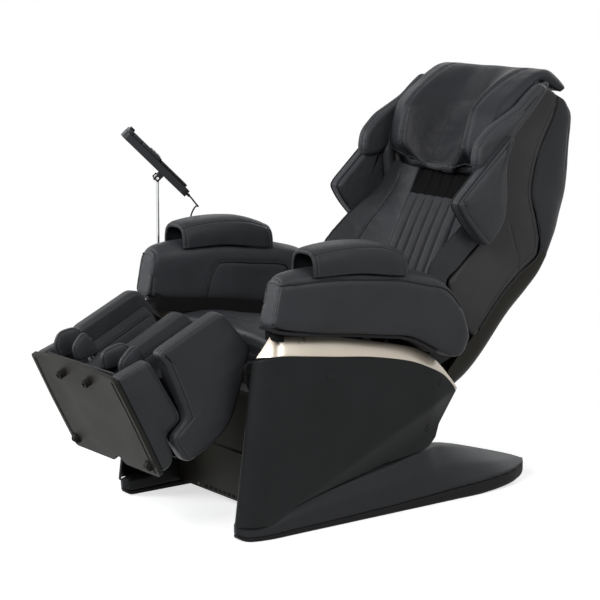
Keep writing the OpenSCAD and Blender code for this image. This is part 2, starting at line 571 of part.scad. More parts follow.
// Height of the carriage at rest, and the rails' ends beyond its travel
carriage_z = 480;
rail_z = [carriage_z - carriage_travel / 2 - 134, carriage_z + carriage_travel / 2 + 176];
crank = [74.2, -79.5];
crank_x = 32;
crank_pin_r = 8;
module back_frame() color("#2e2f31") on_back() {
  lug_in = frame_x - lug_gap - lug_t;
  for (side = [1, -1]) on_side(side) {
    difference() {
      translate([lug_in, 0, 0]) rotate([90, 0, 90]) linear_extrude(lug_t)
        polygon([[-16, -16], [16, -18], [upright_y + tube, 84], [upright_y + tube, 112], [upright_y, 112],
          [-16, 24]]);
      bar_x(lug_in - 1, frame_x, [0, 0], pivot_pin_r + run_gap);
    }
    translate([upright_x, upright_y, 112]) cube([tube, tube, 740]);
    for (z = [rail_z[0] - 14, rail_z[1]]) translate([rail_x - 12, upright_y + 2, z])
      cube([upright_x - rail_x + 14, tube - 4, 14]);
    translate([rail_x, upright_y + tube / 2, rail_z[0] - 1])
      cylinder(h = rail_z[1] - rail_z[0] + 2, r = rail_r);
    // Crank plate that the recline rod pushes
    translate([crank_x, 0, 0]) rotate([90, 0, 90]) linear_extrude(lug_t)
      polygon([[crank[0] - 16, crank[1] - 14], [crank[0] + 16, crank[1] - 14], [upright_y + tube, 86],
        [upright_y, 86]]);
  }
  tube_x([-frame_x + lug_gap + 2, upright_y, 84], 2 * (frame_x - lug_gap - 2));
  tube_x([-upright_x, upright_y, 828], 2 * upright_x);
  // The crank's pin joins the two plates
  bar_x(-crank_x - 2, crank_x + 2, crank, crank_pin_r);
  for (z = [90, 832]) difference() {
    translate([-18, upright_y + tube - 1, z]) cube([36, 35, 20]);
    translate([0, upright_y + tube + 17, z - 1]) cylinder(h = 22, r = screw_r + run_gap);
  }
}
screw_y = upright_y + tube + 17;
module lead_screw() color("#a9abad") on_back() {
  translate([0, screw_y, 88]) cylinder(h = 768, r = screw_r);
  translate([0, screw_y, 111]) cylinder(h = 6, r = screw_r + 6);
}

// Kneading carriage on its rails, with gearbox, nut and shaft
shaft_y = 62;
shaft_r = 10;
cheek_x = 34;
arm_x = roller_pitch / 2 + 14;
module carriage() color("#55575a") on_back() translate([0, 0, carriage_z]) {
  difference() {
    union() {
      translate([-118, 92, -55]) cube([236, 8, 110]);
      for (s = [1, -1]) translate([s * rail_x, upright_y + tube / 2, -50]) cylinder(h = 100, r = rail_r + 6);
      for (s = [1, -1]) translate([s > 0 ? 110 : -128, 92, -50]) cube([18, 8, 100]);
      translate([-16, 100, -20]) cube([32, 44, 40]);
      for (s = [1, -1]) translate([s > 0 ? cheek_x : -cheek_x - 8, 44, -24]) cube([8, 50, 48]);
      translate([-cheek_x, 70, -34]) cube([2 * cheek_x, 22, 68]);
    }
    for (s = [1, -1]) translate([s * rail_x, upright_y + tube / 2, -60])
      cylinder(h = 120, r = rail_r + run_gap);
    translate([0, screw_y, -30]) cylinder(h = 60, r = screw_r + run_gap);
  }
  bar_x(-arm_x - 12, arm_x + 12, [shaft_y, 0], shaft_r);
}

roller_y = 48;
roller_dz = 60;
axle_r = 5;
roller_half = 11;
// Forked kneading arm with the axles of its two rollers
module massage_arm(side) color("#7a7c80") on_back() translate([0, 0, carriage_z]) on_side(side) {
  difference() {
    union() {
      translate([arm_x, 0, 0]) rotate([90, 0, 90]) linear_extrude(8) polygon([[roller_y - 9, -roller_dz - 9],
        [roller_y + 9, -roller_dz - 9], [shaft_y + 18, -14], [shaft_y + 18, 14],
        [roller_y + 9, roller_dz + 9], [roller_y - 9, roller_dz + 9], [roller_y - 2, 0]]);
    }
    bar_x(arm_x - 1, arm_x + 9, [shaft_y, 0], shaft_r + run_gap);
  }
  for (s = [1, -1]) bar_x(roller_pitch / 2 - roller_half - 2, arm_x + 1, [roller_y, s * roller_dz], axle_r);
}
module massage_roller(side, s) color("#c8c4ba") on_back() translate([0, 0, carriage_z]) on_side(side)
  translate([roller_pitch / 2, roller_y, s * roller_dz]) rotate([0, 90, 0])
    rotate_extrude() polygon([[axle_r + run_gap, -roller_half], [roller_r - 5, -roller_half],
      [roller_r - 1, -roller_half + 4], [roller_r, 0], [roller_r - 1, roller_half - 4],
      [roller_r - 5, roller_half], [axle_r + run_gap, roller_half]]);

// ---- drives in the base ---------------------------------------------------------

crank_row = [back_pivot[0] + crank[0] * cos(back_tilt) + crank[1] * sin(back_tilt),
  back_pivot[1] - crank[0] * sin(back_tilt) + crank[1] * cos(back_tilt)];
// The rods run level: half-way between the highest and the lowest point of the crank pin's arc
recline_z = crank_row[1] - 0.5;
leg_crank_r = 92;
leg_crank_lag = 9;
leg_crank = [knee_pivot[0] - leg_crank_r * sin(leg_crank_lag),
  knee_pivot[1] - leg_crank_r * cos(leg_crank_lag)];
leg_rod_z = knee_pivot[1] - leg_crank_r * 0.9285;
leg_drive_x = -60;
leg_pin_r = 6;
rod_r = 8;
eye_wall = 5;
recline_slack = 5.5;
leg_slack = 8;
drive_l = 220;
gear_l = 56;
stroke_room = 82;
// Motor, gear tube and column; the rod runs along Y at x, z, out of the tube's far end
module actuator(x, y0, z) {
  difference() {
    union() {
      translate([x, y0, z]) rotate([-90, 0, 0]) cylinder(h = drive_l, r = rod_r + 9);
      translate([x - 22, y0, z - 62]) cube([44, gear_l, 80]);
    }
    translate([x, y0 + gear_l + 4, z]) rotate([-90, 0, 0]) cylinder(h = drive_l, r = rod_r + run_gap);
  }
  translate([x - 15, y0 + 6, pan_t]) cube([30, 40, z - 61 - pan_t]);
}
// Rod from y0 to an eye that leaves slack round a crank's pin, for the arc that the pin makes
module rod_with_eye(x, y0, z, pin_y, pin_r, slack) {
  s = pin_y > y0 ? 1 : -1;
  end = pin_y - s * (pin_r + slack + 1);
  translate([x, min(y0, end), z]) rotate([-90, 0, 0]) cylinder(h = abs(end - y0), r = rod_r);
  difference() {
    bar_x(x - 9, x + 9, [pin_y, z], pin_r + slack + eye_wall);
    bar_x(x - 10, x + 10, [pin_y, z], pin_r + slack);
  }
}
recline_y0 = -90;
module recline_actuator() color("#303133") actuator(0, recline_y0, recline_z);
module recline_rod() color("#b4b6b8")
  rod_with_eye(0, recline_y0 + gear_l + stroke_room, recline_z, crank_row[0], crank_pin_r, recline_slack);
legrest_y0 = -60;
module legrest_actuator() color("#303133") mirror([0, 1, 0]) actuator(leg_drive_x, legrest_y0, leg_rod_z);
module legrest_rod() color("#b4b6b8")
  rod_with_eye(leg_drive_x, -(legrest_y0 + gear_l + stroke_room - 10), leg_rod_z, leg_crank[0], leg_pin_r,
    leg_slack);

// Air pump beside the drives
module air_pump() color("#2f3032") {
  translate([90, -110, pan_t]) cube([110, 150, 70]);
  for (y = [-75, 5]) translate([145, y, pan_t + 69]) cylinder(h = 35, r = 26);
}
// Power unit with the appliance inlet
module power_unit() color("#2b2c2e") difference() {
  translate([power_x[0], power_y[0], pan_t]) cube([power_x[1] - power_x[0], power_y[1] - power_y[0], 90]);
  translate([inlet_x - inlet_w / 2, power_y[1] - inlet_depth, inlet_z - inlet_h / 2])
    cube([inlet_w, inlet_depth + 1, inlet_h]);
}

// ---- leg rest, in its own frame: knee hinge at the origin, the feet towards -y, z up from the legs

calf_in = calf_half - wall_w;
calf_outline = [[-230, 197], [-220, 147], [-228, -17], [-299, -36], [-290, -131], [-166, -129], [-105, -106],
  [42, 42], [1, 193]];
module calf_walls() color("#4a4c50") on_leg() for (side = [1, -1]) on_side(side)
  plush(calf_outline, calf_in, calf_half, 22, 9, 3, [-130, 0]);

leg_tube_y = -30;
leg_tube_z = -62;
leg_tube_front = -290;
leg_tube_x = 100;
guide_x = leg_tube_x + tube / 2;
guide_z = -73;
guide_y = [-290, -150];
foot_rail_r = 8;
foot_rail_grip = 98;
foot_rail_rear = guide_y[0] + foot_rail_grip + foot_travel;
// Steel frame of the leg rest, with hinge eyes, guides for the foot unit and the crank of its drive
module legrest_frame() color("#2e2f31") on_leg() {
  tube_x([-knee_eye_x - 3, leg_tube_y, leg_tube_z], 2 * knee_eye_x + 6);
  tube_x([-calf_in + seat_gap, leg_tube_front, leg_tube_z], 2 * (calf_in - seat_gap));
  for (side = [1, -1]) on_side(side) {
    tube_y([leg_tube_x, leg_tube_front + tube - 1, leg_tube_z], leg_tube_y - leg_tube_front - tube + 2);
    difference() {
      translate([knee_eye_x, 0, 0]) rotate([90, 0, 90]) linear_extrude(knee_eye_t)
        polygon([[leg_tube_y, leg_tube_z], [0, leg_tube_z], [16, -10], [16, 10], [8, 17], [-8, 17],
          [-16, 10], [-18, -14], [leg_tube_y, -32]]);
      bar_x(knee_eye_x - 1, knee_eye_x + knee_eye_t + 1, [0, 0], pivot_pin_r + run_gap);
    }
    difference() {
      translate([guide_x, guide_y[0], guide_z]) rotate([-90, 0, 0])
        cylinder(h = guide_y[1] - guide_y[0], r = foot_rail_r + 5);
      translate([guide_x, guide_y[0] - 1, guide_z]) rotate([-90, 0, 0])
        cylinder(h = guide_y[1] - guide_y[0] + 2, r = foot_rail_r + run_gap);
    }
  }
  // Crank plates and their pin
  c = [(leg_crank[0] - knee_pivot[0]) * cos(leg_tilt) + (leg_crank[1] - knee_pivot[1]) * sin(leg_tilt),
    (leg_crank[1] - knee_pivot[1]) * cos(leg_tilt) - (leg_crank[0] - knee_pivot[0]) * sin(leg_tilt)];
  for (x = [leg_drive_x - 17, leg_drive_x + 11]) translate([x, 0, 0]) rotate([90, 0, 90]) linear_extrude(6)
    polygon([c + [-12, 0], c + [-8, -10], c + [10, -10], [leg_tube_y + tube - 2, leg_tube_z + 2],
      [leg_tube_y + 2, leg_tube_z + 12]]);
  bar_x(leg_drive_x - 12, leg_drive_x + 12, c, leg_pin_r);
}

// Heights of the upholstery across the leg rest, from the middle outwards, as [x share, z]
calf_profile = [[0, 150], [0.65 * hump_half / calf_in, 147], [1.1 * hump_half / calf_in, 120],
  [0.42, 72], [0.6, 52], [0.78, 66], [0.92, 112], [1, 140]];
profile_n = 10;
// One cross-section of a trough pair: half width, profile, base height, scale and floor
function trough_ring(y, half, profile, low, k) = concat(
  [for (i = [-profile_n:profile_n]) let (u = -i / profile_n)
    [half * u, y, low + (lookup(abs(u), profile) - low) * k]],
  [[-half, y, low - 6], [half, y, low - 6]]);
module calf_pads() color("#3d4046") on_leg() {
  half = calf_in - soft_gap;
  low = leg_tube_z + tube + seat_gap + 6;
  skin([for (s = [[8, 0.78], [0, 0.93], [-12, 1], [-60, 1], [-110, 0.96], [-160, 1], [-205, 1],
      [-216, 0.94], [-222, 0.8]]) trough_ring(s[0], half, calf_profile, low, s[1])]);
}
// Moulded tray that closes the leg rest from below
tray_wall = 3;
module calf_tray() color("#2b2b2a") on_leg() translate([-calf_in + soft_gap, 0, 0]) rotate([90, 0, 90])
  linear_extrude(2 * (calf_in - soft_gap)) polygon([[-84, -72], [-105, -93], [-166, -117], [-288, -119],
    [-288, tray_wall - 119], [-166, tray_wall - 117], [-104, tray_wall - 92], [-84, tray_wall - 71]]);

foot_wall_w = wall_w - 4;
foot_in_x = foot_half - foot_wall_w;
sole_y = -372;
sole_t = 12;
foot_front = sole_y + sole_t + soft_gap;
foot_outline = [[-250, 190], [-235, -4], [-251, -20], [-293, -24], [-303, -37], [-303, -85], [-320, -110],
  [foot_front, -114], [foot_front, 203]];
module foot_walls() color("#4a4c50") on_leg() for (side = [1, -1]) on_side(side)
  plush([for (i = [len(foot_outline) - 1:-1:0]) foot_outline[i]], foot_in_x, foot_half, 14, 9, 3, [-305, 60]);

foot_profile = [[0, 176], [0.2, 168], [0.3, 96], [0.42, 12], [0.6, 0], [0.8, 10], [0.93, 96], [1, 150]];
module foot_pads() color("#3d4046") on_leg() {
  half = foot_in_x - soft_gap;
  skin([for (s = [[-238, 0.5], [-244, 0.86], [-256, 1], [-300, 1], [-318, 1], [-328, 1], [-342, 1],
      [foot_front, 1]]) let (t = clamp01((-318 - s[0]) / 22))
    trough_ring(s[0], half, [for (p = foot_profile) [p[0], max(p[1], 176 * step01(t) + 14 * t)]],
      -14, s[1])]);
}
// Steel rails that carry the foot unit
module foot_rails() color("#a9abad") on_leg() for (side = [1, -1]) on_side(side)
  translate([guide_x, sole_y + sole_t, guide_z]) rotate([-90, 0, 0])
    cylinder(h = foot_rail_rear - sole_y - sole_t, r = foot_rail_r);

sole_half = foot_half + 2;
roller_x = foot_half - 32;
roller_z = -84;
sole_axle_r = 3;
sole_axle_y = sole_y - 2;
sole_roller_w = 16;
socket_x = 69;
socket_z = 170;
// Textured sole plate with two sockets, the brackets of its rollers and a hand notch
module sole_panel() color("#4d4c44") on_leg() {
  difference() {
    translate([0, sole_y + sole_t, 0]) rotate([90, 0, 0]) linear_extrude(sole_t)
      polygon(soften([[-sole_half, -118], [-8, -118], [4, -96], [34, -96], [45, -118], [sole_half, -118],
        [sole_half + 2, 60], [sole_half - 4, 206], [sole_half / 2 + 6, 216], [0, 220],
        [-sole_half / 2 - 6, 216], [-sole_half + 4, 206], [-sole_half - 2, 60]], 16, 4));
    for (s = [1, -1]) translate([s * roller_x - 10.5, sole_y - 1, roller_z - 16]) cube([21, sole_t + 2, 32]);
    for (s = [1, -1]) translate([s * socket_x, sole_y + 4, socket_z]) rotate([90, 0, 0])
      cylinder(h = 8, r = 8);
  }
  for (s = [1, -1]) {
    translate([s * socket_x, sole_y + 1, socket_z]) rotate([90, 0, 0]) difference() {
      cylinder(h = 19, r = 12);
      translate([0, 0, 1]) cylinder(h = 19, r = 8);
    }
    for (e = [1, -1]) bar_x(s * roller_x + (e > 0 ? 10 : -13), s * roller_x + (e > 0 ? 13 : -10),
      [sole_axle_y, roller_z], 10);
    bar_x(s * roller_x - 11, s * roller_x + 11, [sole_axle_y, roller_z], sole_axle_r);
  }
}
module sole_roller(side) color("#1d1d1e") on_leg() on_side(side) translate([roller_x, sole_axle_y, roller_z])
  rotate([0, 90, 0]) difference() {
    cylinder(h = sole_roller_w, r = sole_roller_r, center = true);
    cylinder(h = sole_roller_w + 2, r = sole_axle_r + run_gap, center = true);
  }

// ---- remote control on its stand, at the sitter's right -------------------------

stand_x = -404;
stand_y = -217;
stand_turn = 28;
bracket_z = [440, 476];
gland_at = [30, 11];
gland_h = 11.7;
cord_r = 2.5;
// Bracket on the right side cover, with the stand's bearing
module stand_bracket() color("#242526") difference() {
  x1 = -cover_x(stand_y, (bracket_z[0] + bracket_z[1]) / 2) - seat_gap;
  translate([stand_x - 14, stand_y - 18, bracket_z[0]])
    cube([x1 - stand_x + 14, 36, bracket_z[1] - bracket_z[0]]);
  translate([stand_x, stand_y, bracket_z[0] + 8]) cylinder(h = 60, r = pole_r + run_gap);
}
clamp_r = 10;
clamp_half = 9;
tilt_pin_r = 4;
ear_t = 5;
knob_l = 15;
// Bare pin between an ear and the knob
knob_off = 4.5;
ear_x = clamp_half + lug_gap;
// Chromed pole with the clamp's pin, and a collar that holds the cord's gland
module remote_stand() color("#c7cacc") {
  translate([stand_x, stand_y, bracket_z[0] + 9]) cylinder(h = clamp_z - bracket_z[0] - 9, r = pole_r);
  translate([stand_x, stand_y, bracket_z[1] + seat_gap]) {
    rotate([0, 0, 180]) cylinder(h = 6, r = pole_r + 5);
    rotate([0, 0, atan2(gland_at[1], gland_at[0])]) translate([0, -4.5, 0.5])
      cube([norm(gland_at), 9, 5]);
    translate([gland_at[0], gland_at[1], 0]) cylinder(h = gland_h, r = 6);
  }
  translate([stand_x, stand_y, 0]) rotate([0, 0, -stand_turn]) {
    bar_x(-clamp_half, clamp_half, [0, clamp_z], clamp_r);
    bar_x(-ear_x - ear_t - knob_l, ear_x + ear_t + 1, [0, clamp_z], tilt_pin_r);
  }
}
// Children in the frame of the remote: clamp at the origin, z up its length, y out of its face
module on_remote() {
  translate([stand_x, stand_y, clamp_z]) rotate([0, 0, -stand_turn]) rotate([remote_tilt, 0, 0]) children();
}
module clamp_knob() color("#1b1b1c") on_remote() difference() {
  union() {
    bar_x(-ear_x - ear_t - knob_l, -ear_x - ear_t - knob_off, [0, 0], 11);
    for (a = [0, 60, 120]) rotate([a, 0, 0]) translate([-ear_x - ear_t - knob_l, -12.5, -2.5])
      cube([knob_l - knob_off - 1, 25, 5]);
  }
  bar_x(-ear_x - ear_t - knob_l - 1, -ear_x - ear_t, [0, 0], tilt_pin_r + run_gap);
}
remote_back = 17;
remote_t = 22;
remote_z = [-97, remote_l - 97];
face_y = remote_back + remote_t;
lid_t = 3;
lid_z = [remote_z[0] + 12, remote_z[0] + 128];
lid_pin_r = 1.5;
button_r = 9;
button_z = remote_z[1] - 40;
button_h = 3;
boot_y = remote_back + remote_t / 2;
boot_l = 12;
// Housing of the remote with its ears, display recess, keypad bay and button bore
module remote_body() color("#26272a") on_remote() difference() {
  union() {
    translate([0, face_y, 0]) rotate([90, 0, 0]) linear_extrude(remote_t) polygon(soften([
      [-remote_w / 2 + 5, remote_z[0]], [remote_w / 2 - 5, remote_z[0]], [remote_w / 2, 0],
      [remote_w / 2, remote_z[1]], [-remote_w / 2, remote_z[1]], [-remote_w / 2, 0]], 18, 5));
    for (s = [0, 1]) translate([s == 0 ? ear_x : -ear_x - ear_t, -9, -9]) cube([ear_t, remote_back + 12, 18]);
    // Strain relief of the cord
    translate([0, boot_y, remote_z[0] - boot_l]) cylinder(h = boot_l + 1, r = 4.5);
  }
  bar_x(-20, 20, [0, 0], tilt_pin_r + run_gap);
  translate([-remote_w / 2 + 12, face_y - 1.5, 34]) cube([remote_w - 24, 3, 82]);
  translate([-remote_w / 2 + 8, face_y - lid_t - 1, lid_z[0] - 1])
    cube([remote_w - 16, 8, lid_z[1] - lid_z[0] + 2]);
  translate([0, face_y + 1, button_z]) rotate([90, 0, 0]) cylinder(h = 9, r = button_r + run_gap);
}
// Lid over the keypad, on two pins at its lower edge
module remote_lid() color("#2f3134") on_remote() {
  translate([-remote_w / 2 + 9, face_y - lid_t, lid_z[0] + 2])
    cube([remote_w - 18, lid_t, lid_z[1] - lid_z[0] - 2]);
  translate([remote_w / 2 - 16, face_y - 0.5, lid_z[1] - 9]) cube([6, 2, 6]);
}
module start_button() color("#8d9196") on_remote()
  translate([0, face_y + button_h, button_z]) rotate([90, 0, 0]) cylinder(h = button_h + 4, r = button_r);

// A direction of the remote's frame turned into the chair's, for the start of the cord's route
function remote_dir(v) = let (y = v[1] * cos(remote_tilt) - v[2] * sin(remote_tilt))
  [v[0] * cos(stand_turn) + y * sin(stand_turn), y * cos(stand_turn) - v[0] * sin(stand_turn),
   v[1] * sin(remote_tilt) + v[2] * cos(remote_tilt)];
boot_end = [stand_x, stand_y, clamp_z] + remote_dir([0, boot_y, remote_z[0] - boot_l - seat_gap]);
gland_end = [stand_x + gland_at[0], stand_y + gland_at[1], bracket_z[1] + seat_gap + gland_h + 0.2];
// Route of the remote's cord, from its strain relief to the gland
cord_route = concat([boot_end, boot_end + remote_dir([0, 0, -6])],
  [[-352, -114, 850], [-362, -98, 838], [-390, -88, 834], [-412, -90, 806], [-417, -104, 740],
   [-414, -132, 660], [-408, -164, 580], [-392, -190, 520], [-380, -202, 502]],
  [gland_end + [0, 0, 6], gland_end]);
cord_rings = 56;
module remote_cord() color("#1a1a1b") skin([for (j = [0:cord_rings]) let (s = j / cord_rings,
    c = along(cord_route, s), a = along(cord_route, max(0, s - 0.004)),
    d = unit(along(cord_route, min(1, s + 0.004)) - a),
    u = unit(cross(d, [0, 1, 0.2])), v = cross(d, u))
  [for (i = [0:7]) c + cord_r * (cos(45 * i) * u + sin(45 * i) * v)]]);

base_pan();
base_shell(1);  // base_shell_left
base_shell(-1);  // base_shell_right
base_rims();
side_cover(1);  // side_cover_left
side_cover(-1);  // side_cover_right
trims();
front_skirt();
seat_frame();
seat_cushion();
rear_panel();
air_pump();
power_unit();
recline_actuator();
legrest_actuator();
recline_rod();
legrest_rod();
arm(1);  // arm_left
arm(-1);  // arm_right
cuff(1);  // cuff_left
cuff(-1);  // cuff_right
arm_tray(1);  // arm_tray_left
arm_tray(-1);  // arm_tray_right
back_frame();
back_shell();
back_cover();
back_side(1);  // back_side_left
back_side(-1);  // back_side_right
wing(1);  // wing_left
wing(-1);  // wing_right
bolster(1);  // bolster_left
bolster(-1);  // bolster_right
back_pad();
neck_cloth();
head_pillow();
lead_screw();
carriage();
massage_arm(1);  // massage_arm_left
massage_arm(-1);  // massage_arm_right
massage_roller(1, 1);  // roller_upper_left
massage_roller(-1, 1);  // roller_upper_right
massage_roller(1, -1);  // roller_lower_left
massage_roller(-1, -1);  // roller_lower_right
legrest_frame();
calf_walls();
calf_pads();
calf_tray();
foot_walls();
foot_pads();
foot_rails();
sole_panel();
sole_roller(1);  // sole_roller_left
sole_roller(-1);  // sole_roller_right
stand_bracket();
remote_stand();
clamp_knob();
remote_body();
remote_lid();
start_button();
remote_cord();
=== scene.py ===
import math
import bpy
import bmesh
import numpy as np
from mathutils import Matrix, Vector
from mathutils.bvhtree import BVHTree


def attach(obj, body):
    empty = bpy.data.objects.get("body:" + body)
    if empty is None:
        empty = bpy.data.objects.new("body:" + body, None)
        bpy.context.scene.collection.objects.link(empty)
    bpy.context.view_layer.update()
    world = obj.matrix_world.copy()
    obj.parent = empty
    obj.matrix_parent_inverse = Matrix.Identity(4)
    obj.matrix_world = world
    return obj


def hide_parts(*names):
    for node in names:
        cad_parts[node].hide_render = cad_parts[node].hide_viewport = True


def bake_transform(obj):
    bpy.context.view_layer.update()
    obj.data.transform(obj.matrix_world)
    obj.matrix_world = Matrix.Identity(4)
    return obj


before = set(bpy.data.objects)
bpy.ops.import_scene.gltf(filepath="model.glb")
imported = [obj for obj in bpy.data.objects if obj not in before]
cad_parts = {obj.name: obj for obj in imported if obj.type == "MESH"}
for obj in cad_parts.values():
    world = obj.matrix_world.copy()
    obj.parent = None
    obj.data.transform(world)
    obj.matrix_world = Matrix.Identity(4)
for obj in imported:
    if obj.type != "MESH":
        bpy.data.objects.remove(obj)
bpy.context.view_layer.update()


# ---- Camera, lamps and world -------------------------------------------------
# A long lens at standing height looks down a little on the chair from its left front. Large soft
# lamps all round and a pale world light it. These lengths are in metres.

def look_from(name, place, azimuth, elevation):
    """A camera at place that is turned by the azimuth and looks down by the elevation, both in degrees."""
    data = bpy.data.cameras.new(name)
    eye = bpy.data.objects.new(name, data)
    bpy.context.scene.collection.objects.link(eye)
    eye.location = place
    eye.rotation_euler = (math.radians(90 - elevation), 0, math.radians(azimuth))
    return eye


eye = look_from("eye", (4.6719, -3.4614, 1.6473), 53.31, 10.305)
eye.data.lens = 120
eye.data.sensor_width = 36
eye.data.clip_end = 60
bpy.context.scene.camera = eye


def soft_lamp(name, place, aim, size, watts, colour):
    """A square area lamp at place, turned to face aim."""
    data = bpy.data.lights.new(name, "AREA")
    data.shape = "RECTANGLE"
    data.size, data.size_y = size
    data.energy = watts
    data.color = colour
    lamp = bpy.data.objects.new(name, data)
    bpy.context.scene.collection.objects.link(lamp)
    lamp.location = place
    lamp.rotation_euler = (Vector(aim) - Vector(place)).to_track_quat("-Z", "Y").to_euler()


soft_lamp("lamp_above", (0.1, 0.2, 3.6), (0, 0, 0.6), (2.4, 2.4), 8, (0.95, 0.97, 1.0))
soft_lamp("lamp_left_front", (1.9, -3.6, 2.9), (0, 0, 0.6), (1.7, 1.7), 125, (1.0, 1.0, 1.0))
soft_lamp("lamp_side", (3.6, 1.0, 3.0), (0, 0, 0.7), (1.8, 1.8), 55, (1.0, 1.0, 1.0))
soft_lamp("lamp_behind", (-1.2, 4.2, 2.6), (0, 0.2, 0.8), (2.2, 2.2), 42, (0.97, 0.985, 1.0))
soft_lamp("lamp_right_front", (-2.8, -3.0, 2.2), (0, -0.2, 0.6), (1.6, 1.6), 115, (0.97, 0.985, 1.0))


def node(tree, kind, **values):
    """A shader node whose sockets take the given values, or a link where the value is a socket."""
    made = tree.nodes.new("ShaderNode" + kind)
    for key, value in values.items():
        if hasattr(made, key) and key not in made.inputs:
            setattr(made, key, value)
            continue
        socket = made.inputs[int(key[1:])] if key[0] == "_" else made.inputs[key.replace("_", " ")]
        if isinstance(value, bpy.types.NodeSocket):
            tree.links.new(value, socket)
        else:
            socket.default_value = value
    return made


def maths(tree, operation, *values):
    """The result of one step of shader arithmetic on the values."""
    return node(tree, "Math", operation=operation, **{f"_{i}": v for i, v in enumerate(values)}).outputs[0]


def mapped(tree, value, low, high, start=0.0, end=1.0, **words):
    """The value taken from the range low to high to the range start to end."""
    return node(tree, "MapRange", Value=value, **{"From Min": low, "From Max": high, "To Min": start,
                                                  "To Max": end}, **words).outputs["Result"]


def mixed(tree, share, first, second):
    """The shader made of the first and, by the share, the second."""
    made = node(tree, "MixShader", Fac=share)
    tree.links.new(first.outputs[0], made.inputs[1])
    tree.links.new(second.outputs[0], made.inputs[2])
    return made


def seen_rays(tree):
    """One for rays that reach the eye straight, in a mirror or through glass, and nought for the others."""
    rays = node(tree, "LightPath").outputs
    shown = maths(tree, "MAXIMUM", rays["Is Camera Ray"], rays["Is Glossy Ray"])
    return maths(tree, "MAXIMUM", shown, rays["Is Transmission Ray"])


def bare_tree(owner):
    """The node tree of a world or a material, emptied."""
    owner.use_nodes = True
    owner.node_tree.nodes.clear()
    return owner.node_tree


def pale_world():
    """A world that is pure white to the eye and a dimmer, cooler grey to everything that it lights."""
    world = bpy.data.worlds.new("studio")
    bpy.context.scene.world = world
    t = bare_tree(world)
    dim = node(t, "Background", Color=(0.95, 0.97, 1.0, 1), Strength=0.07)
    white = node(t, "Background", Color=(1, 1, 1, 1))
    node(t, "OutputWorld", Surface=mixed(t, seen_rays(t), dim, white).outputs[0])


pale_world()
bpy.context.scene.view_settings.view_transform = "Standard"


# ---- Shapes and finishes -----------------------------------------------------
# What the pieces share: curves, closed skins and rods, the look of moulded parts, and the way that a
# piece goes on its body. Lengths are in millimetres until mesh_of turns them into metres.

flip = np.array([-1.0, 1, 1])
both_sides = ((1, "left", 1), (-1, "right", flip))


def along(rows, s):
    """Places s from 0 to 1 on the Catmull-Rom curve that passes through the rows, as one array."""
    rows = np.asarray(rows, float)
    n = len(rows) - 1
    u = np.clip(np.asarray(s, float), 0, 1) * n
    i = np.minimum(np.floor(u).astype(int), n - 1)
    f = (u - i)[..., None]
    a, b, c, d = rows[np.maximum(i - 1, 0)], rows[i], rows[i + 1], rows[np.minimum(i + 2, n)]
    return 0.5 * (2 * b + (c - a) * f + (2 * a - 5 * b + 4 * c - d) * f ** 2
                  + (3 * b - a - 3 * c + d) * f ** 3)


def unit(v):
    """Each vector at length one."""
    return v / np.maximum(np.linalg.norm(v, axis=-1, keepdims=True), 1e-12)


def mesh_of(name, points, faces, smooth=True):
    """Mesh object from points and index arrays of faces, with doubles merged and faces turned outwards."""
    me = bpy.data.meshes.new(name)
    sizes = np.concatenate([np.full(len(f), f.shape[1]) for f in faces])
    corners = np.concatenate([f.ravel() for f in faces]).astype(np.int32)
    me.vertices.add(len(points))
    me.vertices.foreach_set("co", (np.asarray(points, float) / 1000).ravel())
    me.loops.add(len(corners))
    me.loops.foreach_set("vertex_index", corners)
    me.polygons.add(len(sizes))
    me.polygons.foreach_set("loop_start", np.concatenate([[0], np.cumsum(sizes)[:-1]]).astype(np.int32))
    me.update(calc_edges=True)
    me.validate()
    bm = bmesh.new()
    bm.from_mesh(me)
    bmesh.ops.remove_doubles(bm, verts=bm.verts, dist=2e-6)
    bmesh.ops.recalc_face_normals(bm, faces=bm.faces)
    bm.to_mesh(me)
    bm.free()
    me.polygons.foreach_set("use_smooth", np.full(len(me.polygons), smooth))
    obj = bpy.data.objects.new(name, me)
    bpy.context.scene.collection.objects.link(obj)
    return obj


def skin_faces(rows, columns, wrap=True):
    """Quads between neighbouring rows of a grid, and round each row when it wraps."""
    j, i = np.meshgrid(np.arange(rows - 1), np.arange(columns if wrap else columns - 1), indexing="ij")
    a, b = (j * columns + i).ravel(), (j * columns + (i + 1) % columns).ravel()
    return np.stack([a, b, b + columns, a + columns], 1)


def skin(name, loops):
    """Closed skin over loops[j, i]: rings joined row by row, with a fan over each end ring."""
    m, n, _ = loops.shape
    points = np.vstack([loops.reshape(-1, 3), loops[0].mean(0), loops[-1].mean(0)])
    i = np.arange(n)
    k = (i + 1) % n
    fans = np.concatenate([np.stack([k, i, np.full(n, m * n)], 1),
                           np.stack([(m - 1) * n + i, (m - 1) * n + k, np.full(n, m * n + 1)], 1)])
    return mesh_of(name, points, [skin_faces(m, n), fans])


def rod_loops(path, radius, sides, aside):
    """Rings of a round rod: circles of the radius, square to the path, turned by a fixed aside direction."""
    path = np.asarray(path, float)
    t = unit(np.gradient(path, axis=0))
    u = unit(np.cross(t, np.asarray(aside, float)))
    v = np.cross(t, u)
    r = np.broadcast_to(np.asarray(radius, float), (len(path),))
    a = np.arange(sides) * 2 * math.pi / sides
    return path[:, None] + r[:, None, None] * (np.cos(a)[None, :, None] * u[:, None]
                                               + np.sin(a)[None, :, None] * v[:, None])


def rod(name, path, radius, sides, aside=(0.13, 0.21, 1.0)):
    """Round rod along a path, with a fan over each end."""
    return skin(name, rod_loops(path, radius, sides, aside))


def colour(r, g, b):
    """A colour written from 0 to 255 as seen, turned into the linear one that a shader takes."""
    c = np.array([r, g, b]) / 255
    c = np.where(c <= 0.04045, c / 12.92, ((c + 0.055) / 1.055) ** 2.4)
    return (*[float(v) for v in c], 1.0)


